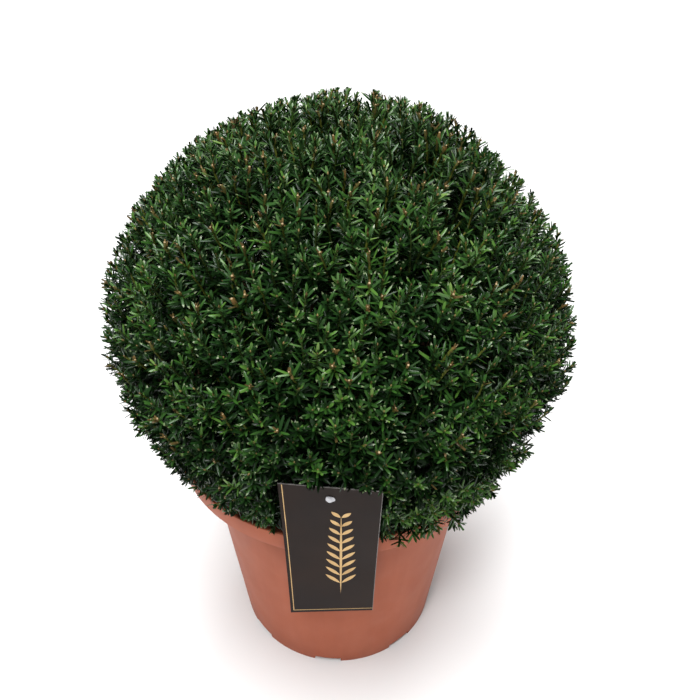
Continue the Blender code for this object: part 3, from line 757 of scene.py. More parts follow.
def trunk_centre(height):
    rise = (height - SOIL_TOP) / (TRUNK_TOP - SOIL_TOP)
    bend = TRUNK_LEAN[1] * np.sin(pi * rise)
    return np.stack([TRUNK_LEAN[0] * rise, bend, height + 0 * rise], -1)


def bark_height(point):
    """Long flutes and small flaking plates, -1 to 1 or so."""
    flutes = Vector([place * waves for place, waves in zip(point, FLUTES)])
    plates = Vector([place * waves for place, waves in zip(point, FLAKES)])
    fine, share = FINE_FLAKES
    flakes = abs(noise.noise(plates)) + share * abs(noise.noise(plates * fine))
    return noise.noise(flutes) * BARK_SHARES[0] - flakes * BARK_SHARES[1]


def relief_tube(centres, radii, sides, depth, lobes=None):
    """One limb with bark relief, closed at both ends."""
    points, quads, index = tubes(centres[None], radii[None], sides)
    middle = centres[None, :, None]
    if lobes is not None:
        points = middle + (points - middle) * lobes[None, :, :, None]
    flat = points.reshape(-1, 3)
    out = unit(points - middle).reshape(-1, 3)
    heights = np.array([bark_height(Vector(point)) for point in flat])
    flat = flat + out * (heights * np.repeat(depth * radii / radii.max(), sides))[:, None]
    ends = np.stack([centres[0], centres[-1]])
    start, stop = index[0, 0], index[0, -1]
    caps = np.concatenate([
        np.stack([np.full(sides, len(flat)), np.roll(start, -1), start], -1),
        np.stack([np.full(sides, len(flat) + 1), stop, np.roll(stop, -1)], -1),
    ])
    return np.concatenate([flat, ends]), [(quads, 0), (caps, 0)]


def make_trunk(mat):
    spread = np.linspace(0, 1, TRUNK_RINGS) ** TRUNK_CROWD
    heights = SOIL_TOP + GAP + (TRUNK_TOP - GAP - SOIL_TOP) * spread
    rise = (heights - SOIL_TOP) / (TRUNK_TOP - SOIL_TOP)
    flare = np.maximum(0, 1 - (heights - SOIL_TOP) / FLARE_HEIGHT)
    radii = between((TRUNK_RADIUS, TRUNK_TIP_RADIUS), rise)
    radii += (FLARE_RADIUS - TRUNK_RADIUS) * flare**2
    turn = tau * np.arange(TRUNK_SIDES) / TRUNK_SIDES
    lobes = 1 + LOBE_DEPTH * flare[:, None] * np.cos(FLARE_LOBES * turn + LOBE_TURN)[None]
    limb = relief_tube(trunk_centre(heights), radii, TRUNK_SIDES, BARK_DEPTHS[0], lobes)
    place_piece(add_arrays("trunk_bark", [limb], [mat]), "bark", "trunk")


def make_boughs(masses, mat):
    """Each bough from the trunk to its mass, and on as that mass's own stem."""
    for mass in masses:
        reach = crown_reach(mass["heading"])
        end = GROWTH + mass["heading"] * reach * BOUGH_END
        tip = GROWTH + mass["heading"] * reach * STEM_END
        if mass["ring"] == "top":
            start = trunk_centre(np.array(TRUNK_TOP)) + UP * GAP
            root_radius = LEADER_RADIUS
            bend = (start + end) / 2 + np.array(LEADER_BEND)
        else:
            start = trunk_centre(np.array(BOUGH_ROOTS[mass["ring"]]))
            root_radius = BOUGH_RADIUS
            outwards = mass["heading"] * np.array([1, 1, BOUGH_RISE])
            bend = start + outwards * norm(end - start) / 2
        t = np.linspace(0, 1, BOUGH_RINGS)
        bough = curve((start, bend, end), t)
        growth = unit(bough[-1] - bough[-2])
        steer = end + growth * norm(tip - end) / 2
        mass["stem"] = (end, steer, tip)
        centres = np.concatenate([bough, curve(mass["stem"], t[1:])])
        radii = np.concatenate([
            between((root_radius, BOUGH_TIP_RADIUS), t),
            between((BOUGH_TIP_RADIUS, STEM_TIP_RADIUS), t[1:]),
        ])
        limb = relief_tube(centres, radii, BOUGH_SIDES, BARK_DEPTHS[1])
        made = add_arrays("bough_bark_" + mass["name"], [limb], [mat])
        place_piece(made, "bark", "bough_" + mass["name"])


# Crown


def aim(tilt, turn):
    around = sin(tilt)
    return np.array([around * cos(turn), around * sin(turn), cos(tilt)])


def crown_reach(headings):
    """The distance from the growth point to the clipped outline, along each heading."""
    scale = 1 / CROWN_SIZE
    start = (GROWTH - CROWN_CENTRE) * scale
    step = headings * scale
    a, b, c = (step * step).sum(-1), step @ start, start @ start - 1
    return (np.sqrt(b * b - a * c) - b) / a


def crown_masses():
    found = []
    for ring, low, high, count, first in RINGS:
        for i in range(count):
            start = radians(first) + tau * i / count
            tilt = radians((low + high) / 2) if count > 1 else 0.0
            found.append(dict(
                ring=ring,
                name=ring if count == 1 else f"{ring}_{i + 1}",
                tilts=(radians(low), radians(high)),
                turns=(start, start + tau / count),
                heading=aim(tilt, start + pi / count),
            ))
    return found


def tilt_of(headings):
    return np.arccos(np.clip(headings[:, 2], -1, 1))


def turn_of(headings):
    return np.arctan2(headings[:, 1], headings[:, 0])


def mass_of(masses, headings):
    """The number of the mass whose space each heading lies in, or -1 below the crown."""
    tilt, turn = tilt_of(headings), turn_of(headings)
    found = np.full(len(headings), -1)
    for i, mass in enumerate(masses):
        low, high = mass["tilts"]
        start, end = mass["turns"]
        inside = (tilt >= low) & (tilt < (SKIRT_FOOT_ANGLE if mass["ring"] == "lower" else high))
        if mass["ring"] != "top":
            inside &= (turn - start) % tau < end - start
        found[inside] = i
    return found


def field(points, size):
    """Smooth noise at each point, about -1 to 1."""
    return np.array([noise.noise(Vector(point / size)) for point in points])


def lowness(headings):
    """0 at the crown's top, 1 at its foot."""
    return np.clip(tilt_of(headings) / CROWN_FOOT_ANGLE, 0, 1)


def skirt(headings):
    """How much the crown hangs over the pot's rim, 0 to 1, along each heading's turn."""
    apart = turn_of(headings) - SKIRT_TURN
    apart = np.abs((apart + pi) % tau - pi) / SKIRT_WIDTH
    return np.clip(SKIRT_EDGE * (1 - apart), 0, 1)


def skirt_depth(headings):
    """0 where the skirt begins, 1 at its foot."""
    return np.clip((tilt_of(headings) - SKIRT_FROM) / (SKIRT_FOOT_ANGLE - SKIRT_FROM), 0, 1)


def outline_reach(headings):
    """The clipped outline's reach, with its lumps and the skirt's bulge above the rim."""
    bulge = SKIRT_REACH * skirt(headings) * skirt_depth(headings)
    reach = crown_reach(headings) * (1 + bulge)
    for tilt, turn, spread, rise in LUMPS:
        middle = aim(radians(tilt), radians(turn))
        apart = np.arccos(np.clip(headings @ middle, -1, 1))
        reach = reach + rise * np.exp(-((apart / radians(spread)) ** 2))
    return reach


def growth_way(headings):
    """The way that a shoot grows at its tip: outwards and up, and level at the crown's foot."""
    foot = np.clip((tilt_of(headings) - LIFT_FROM) / (CROWN_FOOT_ANGLE - LIFT_FROM), 0, 1)
    lift = LIFT + (LIFT_FOOT - LIFT) * foot
    lift -= SKIRT_FALL * skirt(headings) * skirt_depth(headings)
    return unit(headings + UP * lift[:, None])


def spread_points(count):
    """Evenly spread points of the clipped outline, by turning a golden angle at each step."""
    i = np.arange(count)
    height = 1 - 2 * (i + 0.5) / count
    around = np.sqrt(1 - height * height)
    turn = GOLDEN_TURN * i
    ball = np.stack([around * np.cos(turn), around * np.sin(turn), height], -1)
    return CROWN_CENTRE + ball * CROWN_SIZE


def scattered_points():
    """Points of the outline at random, none nearer to another than a spacing that varies."""
    points = CROWN_CENTRE + unit(chance.normal(size=(SHOOT_TRIES, 3))) * CROWN_SIZE
    headings = unit(points - GROWTH)
    foot = CROWN_FOOT_ANGLE + (SKIRT_FOOT_ANGLE - CROWN_FOOT_ANGLE) * skirt(headings)
    inside = tilt_of(headings) < foot
    points, headings = points[inside], headings[inside]
    low = lowness(headings)
    spacing = between(SHOOT_SPACINGS, low)
    spacing *= 1 + SPACING_SWING * field(points, CLUMP_SIZE)
    spacing *= 1 - (1 - SKIRT_SPACING) * skirt(headings) * (low > SKIRT_LOW[0])
    spaced = np.empty((0, 3))
    for point, gap in zip(points, spacing):
        if not len(spaced) or np.min(((spaced - point) ** 2).sum(-1)) > gap * gap:
            spaced = np.vstack([spaced, point])
    return spaced


def card_rise(u, v):
    """How far the twisted, bowed card stands out of the plane of its axes."""
    top, foot = CARD_TWISTS
    return 2 * u * (top * (1 - v) + foot * v) - CARD_BOW * np.sin(pi * v)


def hides_card(points):
    """Whether points touch the card, or hide more of it than the fringe at its top."""
    apart = points - CARD_TOP
    u, v = apart @ RIGHT / CARD_WIDTH, apart @ CARD_DOWN / CARD_LENGTH
    out = apart @ CARD_FRONT - card_rise(u, np.clip(v, 0, 1))
    beside = np.abs(u) > 0.5 + CARD_MARGIN / CARD_WIDTH
    seen_v = v + out / -(VIEW_WAY @ CARD_FRONT) * (VIEW_WAY @ CARD_DOWN) / CARD_LENGTH
    least, swing = FRINGE_SWING
    wide, fine = FRINGE_WAVES
    fringe = CARD_FRINGE * (least + swing * np.cos(wide * u) * np.abs(np.sin(fine * u + 1)))
    touches = (np.abs(out) < CARD_MARGIN) & (v > CARD_SPAN[0]) & (v < CARD_SPAN[1])
    hides = (out > 0) & (seen_v > fringe) & (seen_v < CARD_FOOT)
    return ~beside & (touches | hides)


def touches_pot(points):
    """Whether points touch the lip, or hang lower inside or outside the pot than the crown may."""
    radius = norm(points[..., :2], axis=-1)
    height = points[..., 2] - RIM_TOP
    lip = np.abs(radius - RIM_RADIUS + LIP_THICK / 2) < LIP_THICK / 2 + RIM_CLEARANCE
    inside = (height < -INNER_DROP) & (radius < RIM_RADIUS)
    return lip & (height < RIM_CLEARANCE) | inside | (height < -LIP_HEIGHT)


def is_clear(points):
    """Whether all points of each row keep clear of the card and the pot."""
    return ~(hides_card(points) | touches_pot(points)).any(axis=1)


def curves(source, picked):
    """The root, bend and tip of some twigs or shoots."""
    return tuple(source[key][picked] for key in ("root", "bend", "tip"))


def kept(source):
    """The rows that are marked clear."""
    return {key: value[source["clear"]] for key, value in source.items()}


def grow_twigs(masses):
    """Woody twigs from each mass's stem towards the frame's sprays."""
    headings = unit(spread_points(TWIGS) - GROWTH)
    owner = mass_of(masses, headings)
    headings, owner = headings[owner >= 0], owner[owner >= 0]
    outline = GROWTH + headings * crown_reach(headings)[:, None]
    ways = growth_way(headings)
    tips = outline - ways * TWIG_SET_BACK
    tips[:, 2] = np.maximum(tips[:, 2], RIM_TOP + TWIG_CLEARANCES[0])
    roots = np.empty_like(tips)
    for i, mass in enumerate(masses):
        mine = np.flatnonzero(owner == i)
        t = TWIG_FREE + (1 - TWIG_FREE) * chance.random(len(mine))
        roots[mine] = curve(mass["stem"], t)
    reach = norm(tips - roots, axis=-1, keepdims=True)
    bends = tips - unit(ways + TWIG_SPLAY * headings) * reach * TWIG_BEND
    bends[:, 2] = np.maximum(bends[:, 2], RIM_TOP + TWIG_CLEARANCES[1])
    return dict(headings=headings, owner=owner, root=roots, bend=bends, tip=tips)


def shoot_bends(roots, tips, ways):
    """Where each shoot's curve is steered to: back from its tip, and over the rim if it hangs."""
    bends = tips - ways * norm(tips - roots, axis=-1, keepdims=True) * SHOOT_BEND
    bends[:, 2] = np.maximum(bends[:, 2], RIM_TOP + SHOOT_CLEARANCE)
    hanging = tips[:, 2] < RIM_TOP + HANG_CLEARANCES[0]
    radius = norm(tips[:, :2], axis=1)
    over_rim = np.maximum(radius - HANG_BACK, RIM_RADIUS + HANG_OUT) / radius
    bends[hanging, :2] = (tips[:, :2] * over_rim[:, None])[hanging]
    bends[hanging, 2] = RIM_TOP + HANG_CLEARANCES[1]
    return bends


def grow_shoots(masses, twigs):
    """Leafy shoots from the twigs to the clipped outline."""
    outline = scattered_points()
    headings = unit(outline - GROWTH)
    count, low = len(outline), lowness(headings)
    nearest = np.argmax(headings @ twigs["headings"].T, axis=1)
    aside = norm(headings - twigs["headings"][nearest], axis=-1)
    aside = aside / np.quantile(aside, CLUMP_EDGE)
    stubs = chance.random(count) < between(STUB_SHARES, low**STUB_FADE)
    least, swing = (fall * np.where(stubs, share, 1) for fall, share in zip(TIP_FALL, STUB_FALLS))
    fall = least + swing * chance.random(count) ** TIP_FALL_POWER
    fall += between(CLUMP_FALL, low) * np.clip(aside, 0, 1) ** 2
    hollow = np.clip((field(outline, HOLLOW_SIZE) - HOLLOW_LEVEL) / HOLLOW_RUN, 0, 1)
    fall += HOLLOW_FALL * hollow
    tips = GROWTH + headings * (outline_reach(headings) - fall)[:, None]
    ways = unit(growth_way(headings) + TIP_SWAY * chance.normal(size=(count, 3)))
    t = 1 - SHOOT_SPAN * chance.random(count) * np.clip(SHOOT_SPAN_LEAST + aside, 0, 1)
    roots = bezier(*curves(twigs, nearest), t[:, None])[:, 0]
    bends = shoot_bends(roots, tips, ways)
    probe = bezier(roots, bends, tips, np.tile(SHOOT_PROBES, (count, 1)))
    owner = mass_of(masses, headings)
    fresh = chance.random(count) < FRESH_SHARE
    shortest, longest = STUB_LENGTH
    swing = longest * between(STUB_SWING, low) - shortest
    stub = np.where(stubs, shortest + swing * chance.random(count) ** 2, 0)
    # each shoot's tone: its own random tone, lighter when fresh or low in the skirt, with painted
    # light and shade added by height, by side and in hollows
    tone_and_shade = (
        TONE_SWING * field(outline, TONE_SIZE) + TONE_SCATTER[0] * chance.normal(size=count)
        # painted shade in the hollows
        + fresh - HOLLOW_SHADE * hollow
        # painted light towards the crown's top and painted shade towards its foot
        # painted shade on the crown's sides
        + SHADE_BY_HEIGHT * (SHADE_MIDDLE - low) - SHADE_BY_SIDE * headings[:, 0] ** 2
        + SKIRT_TONE * skirt(headings) * (low > SKIRT_LOW[1])
    )
    return kept(dict(
        clear=is_clear(probe) & (owner >= 0), owner=owner, root=roots, bend=bends, tip=tips,
        length=norm(tips - roots, axis=-1) * SHOOT_CURVE, stub=stub, tone_and_shade=tone_and_shade,
        turn=chance.random(count) * tau, low=low,
    ))


def shoot_tubes(shoots, picked):
    """The stems of some shoots: brown at the foot, green above, with a bud or a clipped end."""
    count = len(picked)
    stub = shoots["stub"][picked]
    clipped = stub > 0
    t = np.tile(np.linspace(0, 1, SHOOT_STEPS), (count, 1))
    split = 1 - np.where(clipped, stub, BUD_STEM) / shoots["length"][picked]
    (foot_gap, foot_most), (gap, most) = STEM_LIMITS
    foot = np.where(clipped, split, split - BUD_FOOT)
    t[:, -3] = np.clip(foot, t[:, -4] + foot_gap, foot_most)
    middle = STUB_MIDDLE[0] * t[:, -3] + STUB_MIDDLE[1]
    t[:, -2] = np.where(clipped, middle, np.clip(split, t[:, -3] + gap, most))
    centres = bezier(*curves(shoots, picked), t)
    centres[clipped, -2] += STUB_KINK * chance.normal(size=(clipped.sum(), 3))
    radii = between(SHOOT_RADII, t)
    radii[clipped] = STUB_RADIUS
    radii[clipped, -2] *= chance.uniform(*STUB_SWELL, clipped.sum())
    radii[clipped, -1] *= chance.uniform(*STUB_TAPER, clipped.sum())
    radii *= 1 + SHOOT_KNOBS * chance.normal(size=radii.shape)
    radii[~clipped, -1] = BUD_RADIUS
    points, quads, index = tubes(centres, radii, SHOOT_SIDES)
    slots = np.full(quads.shape[:3], GREEN)
    slots[:, :2] = WOOD
    slots[clipped | (chance.random(count) < FRESH_STEMS), 3:] = FRESH
    for level, share, often, seldom in STUB_SLOTS:
        luck = chance.random((clipped.sum(), 1))
        slots[clipped, level] = np.where(luck < share, often, seldom)
    way = unit(centres[:, -1] - centres[:, -2])
    ends = centres[:, -1] + way * np.where(clipped, STUB_CAP, BUD_LENGTH)[:, None]
    end_index = points[..., 0].size + np.arange(count)
    ring = index[:, -1]
    fans = np.stack([end_index[:, None] + 0 * ring, ring, np.roll(ring, -1, 1)], -1)
    fan_slots = np.repeat(np.where(clipped, CUT, BUD), SHOOT_SIDES)
    return np.concatenate([points.reshape(-1, 3), ends]), [(quads, slots), (fans, fan_slots)]


def needle_places(shoots):
    """Where each needle sits: its shoot, its distance from the tip and its turn round the stem."""
    length = shoots["length"]
    bare = shoots["stub"] * STUB_FREE
    carried = (np.minimum(NEEDLE_REACH, length - NEEDLE_FREE) - bare) / NEEDLE_STEP
    crowd = between(ROSETTES, shoots["low"])
    counts = ((carried + np.sqrt(carried**2 + 4 * crowd * carried)) / 2).astype(int)
    counts = np.maximum(ROSETTES[0], counts)
    owner = np.repeat(np.arange(len(length)), counts)
    first = np.concatenate([[0], np.cumsum(counts)[:-1]])
    order = np.arange(len(owner)) - first[owner] + NEEDLE_SCATTER * chance.random(len(owner))
    back = bare[owner] + NEEDLE_STEP * order**2 / (order + crowd[owner])
    swing = chance.normal(size=len(owner)) * NEEDLE_TURN_SWING
    return owner, back, shoots["turn"][owner] + GOLDEN_TURN * np.floor(order) + swing


def grow_needles(source, picked, t, turn, angle, length):
    """Needles out of twigs or shoots at t, turned round them, at an angle to their growth."""
    start, bend, end = curves(source, picked)
    base = bezier(start, bend, end, t[:, None])[:, 0]
    way = unit(2 * (1 - t[:, None]) * (bend - start) + 2 * t[:, None] * (end - bend))
    side, across = axes_round(way, way)
    out = np.cos(turn)[:, None] * side + np.sin(turn)[:, None] * across
    angle_swing, way_swing, roll_swing = NEEDLE_SWINGS
    angle = angle + chance.normal(size=len(t)) * angle_swing
    grow = unit(way * np.cos(angle)[:, None] + out * np.sin(angle)[:, None])
    grow = unit(grow + way_swing * chance.normal(size=grow.shape))
    tip = base + grow * length[:, None] - GROWTH
    outwards = unit(tip)
    over = norm(tip, axis=-1) - outline_reach(outwards) - NEEDLE_PROUD
    climb = np.maximum((grow * outwards).sum(-1), CLIMB_LEAST)
    clipped = np.maximum(length - over / climb, NEEDLE_LEAST * length)
    length = np.where(over > 0, clipped, length)
    face = unit(way - grow * (way * grow).sum(-1, keepdims=True))
    roll = chance.normal(size=len(t)) * roll_swing
    width = np.cross(grow, face)
    foot = base - GROWTH
    proud = norm(foot, axis=-1) - outline_reach(unit(foot)) - NEEDLE_PROUD
    probe = base[:, None] + grow[:, None] * length[:, None, None] * PROBES[:, None]
    return dict(
        clear=is_clear(probe) & (proud < 0), owner=source["owner"][picked],
        base=base, grow=grow, length=length, cut=over > CUT_FROM,
        face=np.cos(roll)[:, None] * face + np.sin(roll)[:, None] * width,
        width=np.cos(roll)[:, None] * width - np.sin(roll)[:, None] * face,
        bow=chance.normal(size=len(t)) * NEEDLE_BOW[0] + NEEDLE_BOW[1],
        size=chance.uniform(*NEEDLE_WIDTHS, len(t)),
        low=np.ones(len(t)), slot=np.zeros(len(t), int),
    )


def shoot_needles(shoots):
    owner, back, turn = needle_places(shoots)
    count, low = len(owner), shoots["low"][owner]
    t = np.clip(1 - back / shoots["length"][owner], NEEDLE_LOWEST, 1)
    grown = back + OPEN_OVER * (shoots["stub"][owner] > 0)
    full = between(FULL_ANGLES, low)
    angle = TIP_ANGLE + (full - TIP_ANGLE) * np.clip(grown / OPEN_OVER, 0, 1) ** OPEN_POWER
    young = between(NEEDLE_TIP_SHARES, low)
    length = NEEDLE_LENGTH * (young + (1 - young) * np.clip(grown / RIPE_OVER, 0, 1))
    length = length * chance.uniform(*NEEDLE_SPREAD, count)
    needles = grow_needles(shoots, owner, t, turn, angle, length)
    # painted shade: needles further back from a shoot's tip, deeper among the foliage, are drawn
    # darker
    shade = between(SHADE_BY_DEPTH, low) * np.clip(back / NEEDLE_REACH, 0, 1)
    tone_and_shade = shoots["tone_and_shade"][owner] + between(TIP_TONES, low) - shade
    slot = np.digitize(tone_and_shade + TONE_SCATTER[1] * chance.normal(size=count), TONE_STEPS)
    # painted sheen: greyer greens stand in for the middle ones, mostly on the crown's top
    sheen = (slot > 0) & (slot < 4) & (chance.random(count) < between(SHEEN_SHARES, low))
    needles["slot"] = np.where(sheen, slot + SHEEN_SLOT - 1, slot)
    needles["low"] = low
    needles["size"] *= between(NEEDLE_SIZES, low)
    return kept(needles)


def twig_needles(twigs):
    """Older needles along the twigs inside the crown, all in the darkest green: partly their own
    darker colour, partly painted shade.
    """
    reach = norm(twigs["tip"] - twigs["root"], axis=-1)
    owner = np.repeat(np.arange(len(reach)), (reach / TWIG_NEEDLE_STEP).astype(int))
    t = chance.random(len(owner))
    turn = chance.random(len(owner)) * tau
    length = TWIG_NEEDLE_LENGTH * chance.uniform(*TWIG_NEEDLE_SPREAD, len(owner))
    return kept(grow_needles(twigs, owner, t, turn, TWIG_NEEDLE_ANGLE, length))


def bud_scales(shoots):
    """Small brown scales that hug the clipped ends and make them knobbly."""
    owner = np.repeat(np.flatnonzero(shoots["stub"] > 0), SCALES)
    back = shoots["stub"][owner] * SCALE_SPAN * chance.random(len(owner))
    turn = chance.random(len(owner)) * tau
    length = SCALE_LENGTH * chance.uniform(*SCALE_SPREAD, len(owner))
    t = 1 - back / shoots["length"][owner]
    scales = grow_needles(shoots, owner, t, turn, SCALE_ANGLE, length)
    scales["slot"] = np.where(chance.random(len(owner)) < PALE_SCALES, SCALE_SLOT, CUT_SLOT)
    scales["size"] *= SCALE_WIDTH
    return kept(scales)


def needle_mesh(needles, picked):
    """Blades of eight triangles: a short stalk, parallel edges with a raised rib, a blunt tip."""
    sideways = np.array([0, 1, 0, -1, NEEDLE_TAPER, 0, -NEEDLE_TAPER, 0])
    raised = np.array([0, 0, 1, 0, 0, 1, 0, NEEDLE_TIP_RIB])
    needles = {key: value[picked] for key, value in needles.items()}
    base, grow, face, width = (needles[key][:, None] for key in ("base", "grow", "face", "width"))
    length, bow, size = (needles[key][:, None, None] for key in ("length", "bow", "size"))
    cut, slot, low = (needles[key] for key in ("cut", "slot", "low"))
    stations = np.tile(np.array([0, *[NEEDLE_FOOT] * 3, 0, 0, 0, 1.0]), (len(picked), 1))
    stations[:, 4:7] = np.where(cut, *NEEDLE_SHOULDERS)[:, None]
    stations = stations[..., None]
    half = NEEDLE_HALF_WIDTH * size
    points = (
        base
        + grow * (stations * length)
        + width * sideways[None, :, None] * half
        + face * (bow * length * stations**2 + raised[None, :, None] * half * NEEDLE_RIB)
    )
    first = 8 * np.arange(len(picked))[:, None, None]
    quads = first + np.array([[1, 4, 5, 2], [2, 5, 6, 3]])
    feet = first + np.array([[0, 1, 2], [0, 2, 3]])
    tips = first + np.array([[4, 7, 5], [5, 7, 6]])
    luck = chance.random(len(picked))
    green = (slot > 0) & ((slot < PALE_AND_HIGHLIGHT_SLOT) | (slot >= SHEEN_SLOT))
    # pale tips, partly the needles' own paler ends and partly a painted highlight
    tip_slot = np.where(green & (luck < PALE_AND_HIGHLIGHT_TIPS), PALE_AND_HIGHLIGHT_SLOT, slot)
    tip_slot = np.where(green & (luck < GLINT_TIPS), GLINT_SLOT, tip_slot)
    brown = cut & (low < BROWN_ABOVE)
    tip_slot = np.where(brown & (luck < BROWN_TIPS), CUT_SLOT, tip_slot)
    body_slot = np.where(brown & (luck < BROWN_NEEDLES), CUT_SLOT, slot)
    faces = ((quads, body_slot), (feet, slot), (tips, tip_slot))
    return points, [(group, np.repeat(slots, 2)) for group, slots in faces]


def make_crown(masses):
    stems = [plain(name, colour, rough, STEM_SPECULAR) for name, *colour, rough in STEMS]
    tones = [
        plain(f"needles_{i + 1}", colour, NEEDLE_ROUGHNESS, specular)
        for i, (*colour, specular) in enumerate(NEEDLES)
    ]
    twigs = grow_twigs(masses)
    shoots = grow_shoots(masses, twigs)
    groups = (shoot_needles(shoots), twig_needles(twigs), bud_scales(shoots))
    for i, mass in enumerate(masses):
        mine = np.flatnonzero(twigs["owner"] == i)
        t = np.tile(np.linspace(0, 1, TWIG_STEPS), (len(mine), 1))
        centres = bezier(*curves(twigs, mine), t)
        points, quads, index = tubes(centres, between(TWIG_RADII, t), TWIG_SIDES)
        made = add_arrays("twigs_" + mass["name"], [
            (points, [(quads, WOOD)]),
            shoot_tubes(shoots, np.flatnonzero(shoots["owner"] == i)),
        ], stems)
        place_piece(made, "bark")
        made = add_arrays("needles_" + mass["name"], [
            needle_mesh(needles, np.flatnonzero(needles["owner"] == i)) for needles in groups
        ], tones)
        place_piece(made, "needles", "foliage_" + mass["name"])


# Card and tie


def card_point(u, v, out=0.0):
    flat = CARD_TOP + RIGHT * (u * CARD_WIDTH) + CARD_DOWN * (v * CARD_LENGTH)
    return flat + CARD_FRONT * (out + card_rise(u, v))


def card_patch(shape, us, vs, low, high, edge_slot=0):
    """A thin slab of the card between columns us and rows vs, from out=low to out=high. Its cut
    edge, in the edge's paler colour, and a strip along its top and its right side, a painted
    highlight in the same colour, take edge_slot."""
    front, back = (
        [[shape.verts.new(card_point(u, v, out)) for u in us] for v in vs] for out in (high, low)
    )
    rows, columns = range(len(vs) - 1), range(len(us) - 1)
    for grid in (front, back):
        for j in rows:
            for i in columns:
                corners = (grid[j][i], grid[j][i + 1], grid[j + 1][i + 1], grid[j + 1][i])
                # painted highlight: the top row and the right column of faces take edge_slot
                highlight_strip = j == 0 or i == columns[-1]
                shape.faces.new(corners).material_index = edge_slot if highlight_strip else 0
    edges = [(j, i, j, i + 1) for j in (0, -1) for i in columns]
    edges += [(j, i, j + 1, i) for i in (0, -1) for j in rows]
    for j, i, m, n in edges:
        corners = (front[j][i], front[m][n], back[m][n], back[j][i])
        shape.faces.new(corners).material_index = edge_slot


def loft(shape, rings):
    """Joins rings of points into one closed skin."""
    rings = [[shape.verts.new(point) for point in ring] for ring in rings]
    for low, high in zip(rings, rings[1:]):
        for i in range(len(low)):
            k = (i + 1) % len(low)
            shape.faces.new((low[i], low[k], high[k], high[i]))
    shape.faces.new(rings[0])
    shape.faces.new(rings[-1])


def gold_leaf(shape, middle, way, length, width):
    """A slim pointed leaf of gold foil on the card: middle is in metres across and down it."""
    aside = np.array([-way[1], way[0]])
    outline = []
    for i in range(2 * FOIL_STEPS):
        t = i / FOIL_STEPS
        along, across = (t, 1) if t <= 1 else (2 - t, -1)
        bulge = across * width / 2 * sin(pi * along) ** LEAF_POWER
        outline.append(np.array(middle) + way * length * along + aside * bulge)
    loft(shape, [
        [card_point(x / CARD_WIDTH, y / CARD_LENGTH, out) for x, y in outline]
        for out in (CARD_THICK / 2 + FOIL_THICK, CARD_THICK / 2)
    ])


def make_sprig(shape):
    """A plain sprig ornament in foil: a stalk with needles in pairs that grow shorter upwards."""
    x, top, foot = SPRIG_PLACE
    gold_leaf(shape, (x, foot), np.array([0.0, -1.0]), foot - top, SPRIG_STALK)
    for i in range(SPRIG_PAIRS):
        share = i / (SPRIG_PAIRS - 1)
        y = foot - SPRIG_BARE[0] - (foot - SPRIG_BARE[0] - top - SPRIG_BARE[1]) * share
        for side in (-1, 1):
            way = np.array([side * sin(SPRIG_ANGLE), -cos(SPRIG_ANGLE)])
            length = SPRIG_LEAF * (1 - SPRIG_SHRINK * share**SPRIG_POWER)
            gold_leaf(shape, (x + side * SPRIG_ASIDE, y), way, length, SPRIG_WIDTH)


def make_card():
    """The card with its paler cut edge, and its thin gold rule and sprig just proud of the face."""
    shape = bmesh.new()
    half = CARD_THICK / 2
    across, down = CARD_STEPS
    # the last column and the first row are the narrow strip of painted highlight
    us = [*np.linspace(-0.5, 0.5 - CARD_HIGHLIGHT_STRIP / CARD_WIDTH, across), 0.5]
    vs = [0, *np.linspace(CARD_HIGHLIGHT_STRIP / CARD_LENGTH, 1, down)]
    card_patch(shape, us, vs, -half, half, 1)
    card = clouded(
        "label_card", 0.4, 0.05, (18, 4), (0.0155, 0.0110, 0.0100), (0.0225, 0.0130, 0.0095),
        shine=((28, 5), 0.34, 0.48), grain=((1400, 2), 0.05, 0.0001),
    )
    # the cut edge's own paler colour, also used for the painted highlight strip
    edge = clouded("card_edge_and_highlight", 0.7, 0.2, (400, 2), (0.170, 0.158, 0.150), (0.260, 0.245, 0.235))
    place_piece(add_bmesh("label_board", shape, [card, edge]), "label_card", "label_card")
    shape = bmesh.new()
    make_sprig(shape)
    left, right = -0.5 + RULE_INSET / CARD_WIDTH, -0.5 + (RULE_INSET + RULE_WIDTH) / CARD_WIDTH
    foot, rise = 1 - RULE_FOOT / CARD_LENGTH, RULE_WIDTH / CARD_LENGTH
    vs = np.linspace(RULE_TOP / CARD_LENGTH, foot, down)
    card_patch(shape, [left, right], vs, half, half + FOIL_THICK)
    us = np.linspace(right + RULE_GAP, RULE_END, across)
    card_patch(shape, us, [foot - rise, foot], half, half + FOIL_THICK)
    dark, light = (0.50, 0.31, 0.120), (0.66, 0.44, 0.190)
    gold = clouded("rule_gold", 0.38, 0.5, (90, 3), dark, light, metallic=0.6)
    place_piece(add_bmesh("label_rule", shape, [gold]), "label_card")


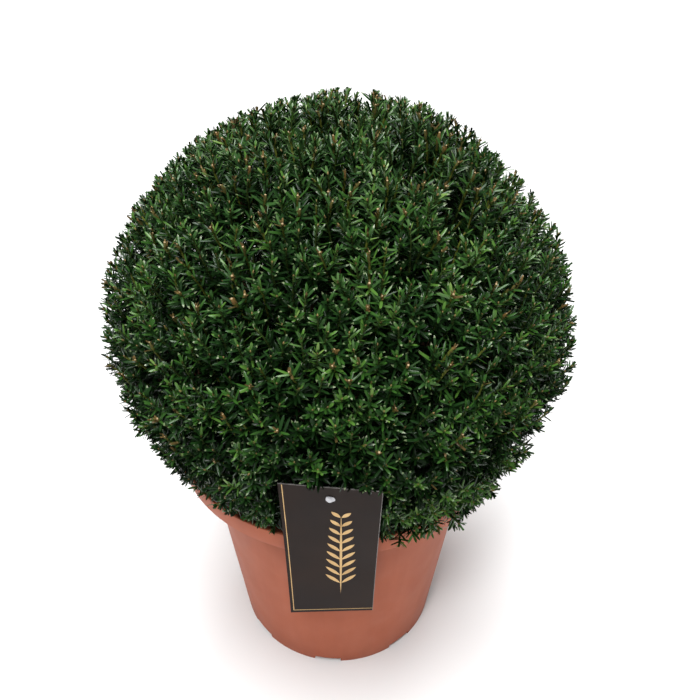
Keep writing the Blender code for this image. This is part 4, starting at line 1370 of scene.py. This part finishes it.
def make_tie():
    """A white plastic pin with a flat, slightly torn head."""
    v = TIE_DROP / CARD_LENGTH
    hole = card_point(0, v)
    side = unit(card_point(0.5, v) - card_point(-0.5, v))
    front = np.cross(CARD_DOWN, side)
    rest, pin = CARD_THICK / 2 + GAP, TIE_RADIUS / TIE_HEAD_RADIUS
    levels = [(rest + TIE_HEAD_THICK * rise, share) for rise, share in TIE_HEAD]
    levels += [(rest, pin), (-TIE_LENGTH, pin * TIE_TAPER)]
    rings = []
    for out, share in levels:
        ring = []
        for i in range(TIE_SIDES):
            turn = tau * i / TIE_SIDES
            ragged = 1 + sum(depth * cos(n * turn + shift) for n, shift, depth in TIE_RAGGED)
            reach = TIE_HEAD_RADIUS * share * (ragged if share > pin else 1)
            way = cos(turn) * side + sin(turn) * CARD_DOWN
            ring.append(hole + front * out + reach * way)
        rings.append(ring)
    shape = bmesh.new()
    loft(shape, rings)
    plastic = clouded("tie_plastic", 0.4, 0.5, (300, 3), (0.44, 0.44, 0.47), (0.64, 0.64, 0.67))
    place_piece(add_bmesh("label_pin", shape, [plastic]), "tie_plastic", "label_tie")


# Stage


def place_piece(made, slot, *nodes):
    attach(made, "root")
    if nodes:
        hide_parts(*nodes)


def make_world():
    """Even white light, with a white backdrop where the camera looks past the floor."""
    world = bpy.data.worlds.new("studio")
    world.use_nodes = True
    tree = world.node_tree
    light = add_node(tree, "Background", 0, {"Color": WHITE, "Strength": WORLD_LIGHT})
    backdrop = add_node(tree, "Background", 0, {"Color": WHITE, "Strength": 1})
    ray = add_node(tree, "LightPath", "Is Camera Ray", {})
    mixed = add_node(tree, "MixShader", 0, {0: ray, 1: light, 2: backdrop})
    tree.links.new(mixed, tree.nodes["World Output"].inputs["Surface"])
    bpy.context.scene.world = world


def make_stage():
    shape = bmesh.new()
    bmesh.ops.create_grid(shape, x_segments=1, y_segments=1, size=FLOOR_HALF)
    paper = clouded("floor", 0.9, 0.1, (2, 2), (0.79, 0.79, 0.79), (0.81, 0.81, 0.81))
    add_bmesh("floor", shape, [paper])
    make_world()
    bpy.context.scene.view_settings.view_transform = "Standard"
    for name, place, kind, size, power in LAMPS:
        data = bpy.data.lights.new(name, kind)
        if kind == "SUN":
            data.angle = size
        else:
            data.shape = "DISK"
            data.size = size
        data.energy = power
        lamp = bpy.data.objects.new(name, data)
        lamp.location = place
        way = Vector(LIT_POINT) - Vector(place)
        lamp.rotation_euler = way.to_track_quat("-Z", "Y").to_euler()
        bpy.context.scene.collection.objects.link(lamp)


def make_camera():
    data = bpy.data.cameras.new("camera")
    data.lens = LENS
    data.sensor_width = SENSOR
    data.shift_x, data.shift_y = SHIFT
    data.clip_start = CLIP_START
    camera = bpy.data.objects.new("camera", data)
    camera.location = CAMERA
    camera.rotation_euler = (pi / 2 - PITCH, 0, 0)
    bpy.context.scene.collection.objects.link(camera)
    bpy.context.scene.camera = camera


def main():
    bark = bark_material()
    masses = crown_masses()
    make_pot()
    make_soil()
    make_trunk(bark)
    make_boughs(masses, bark)
    make_crown(masses)
    make_card()
    make_tie()
    make_stage()
    make_camera()


main()
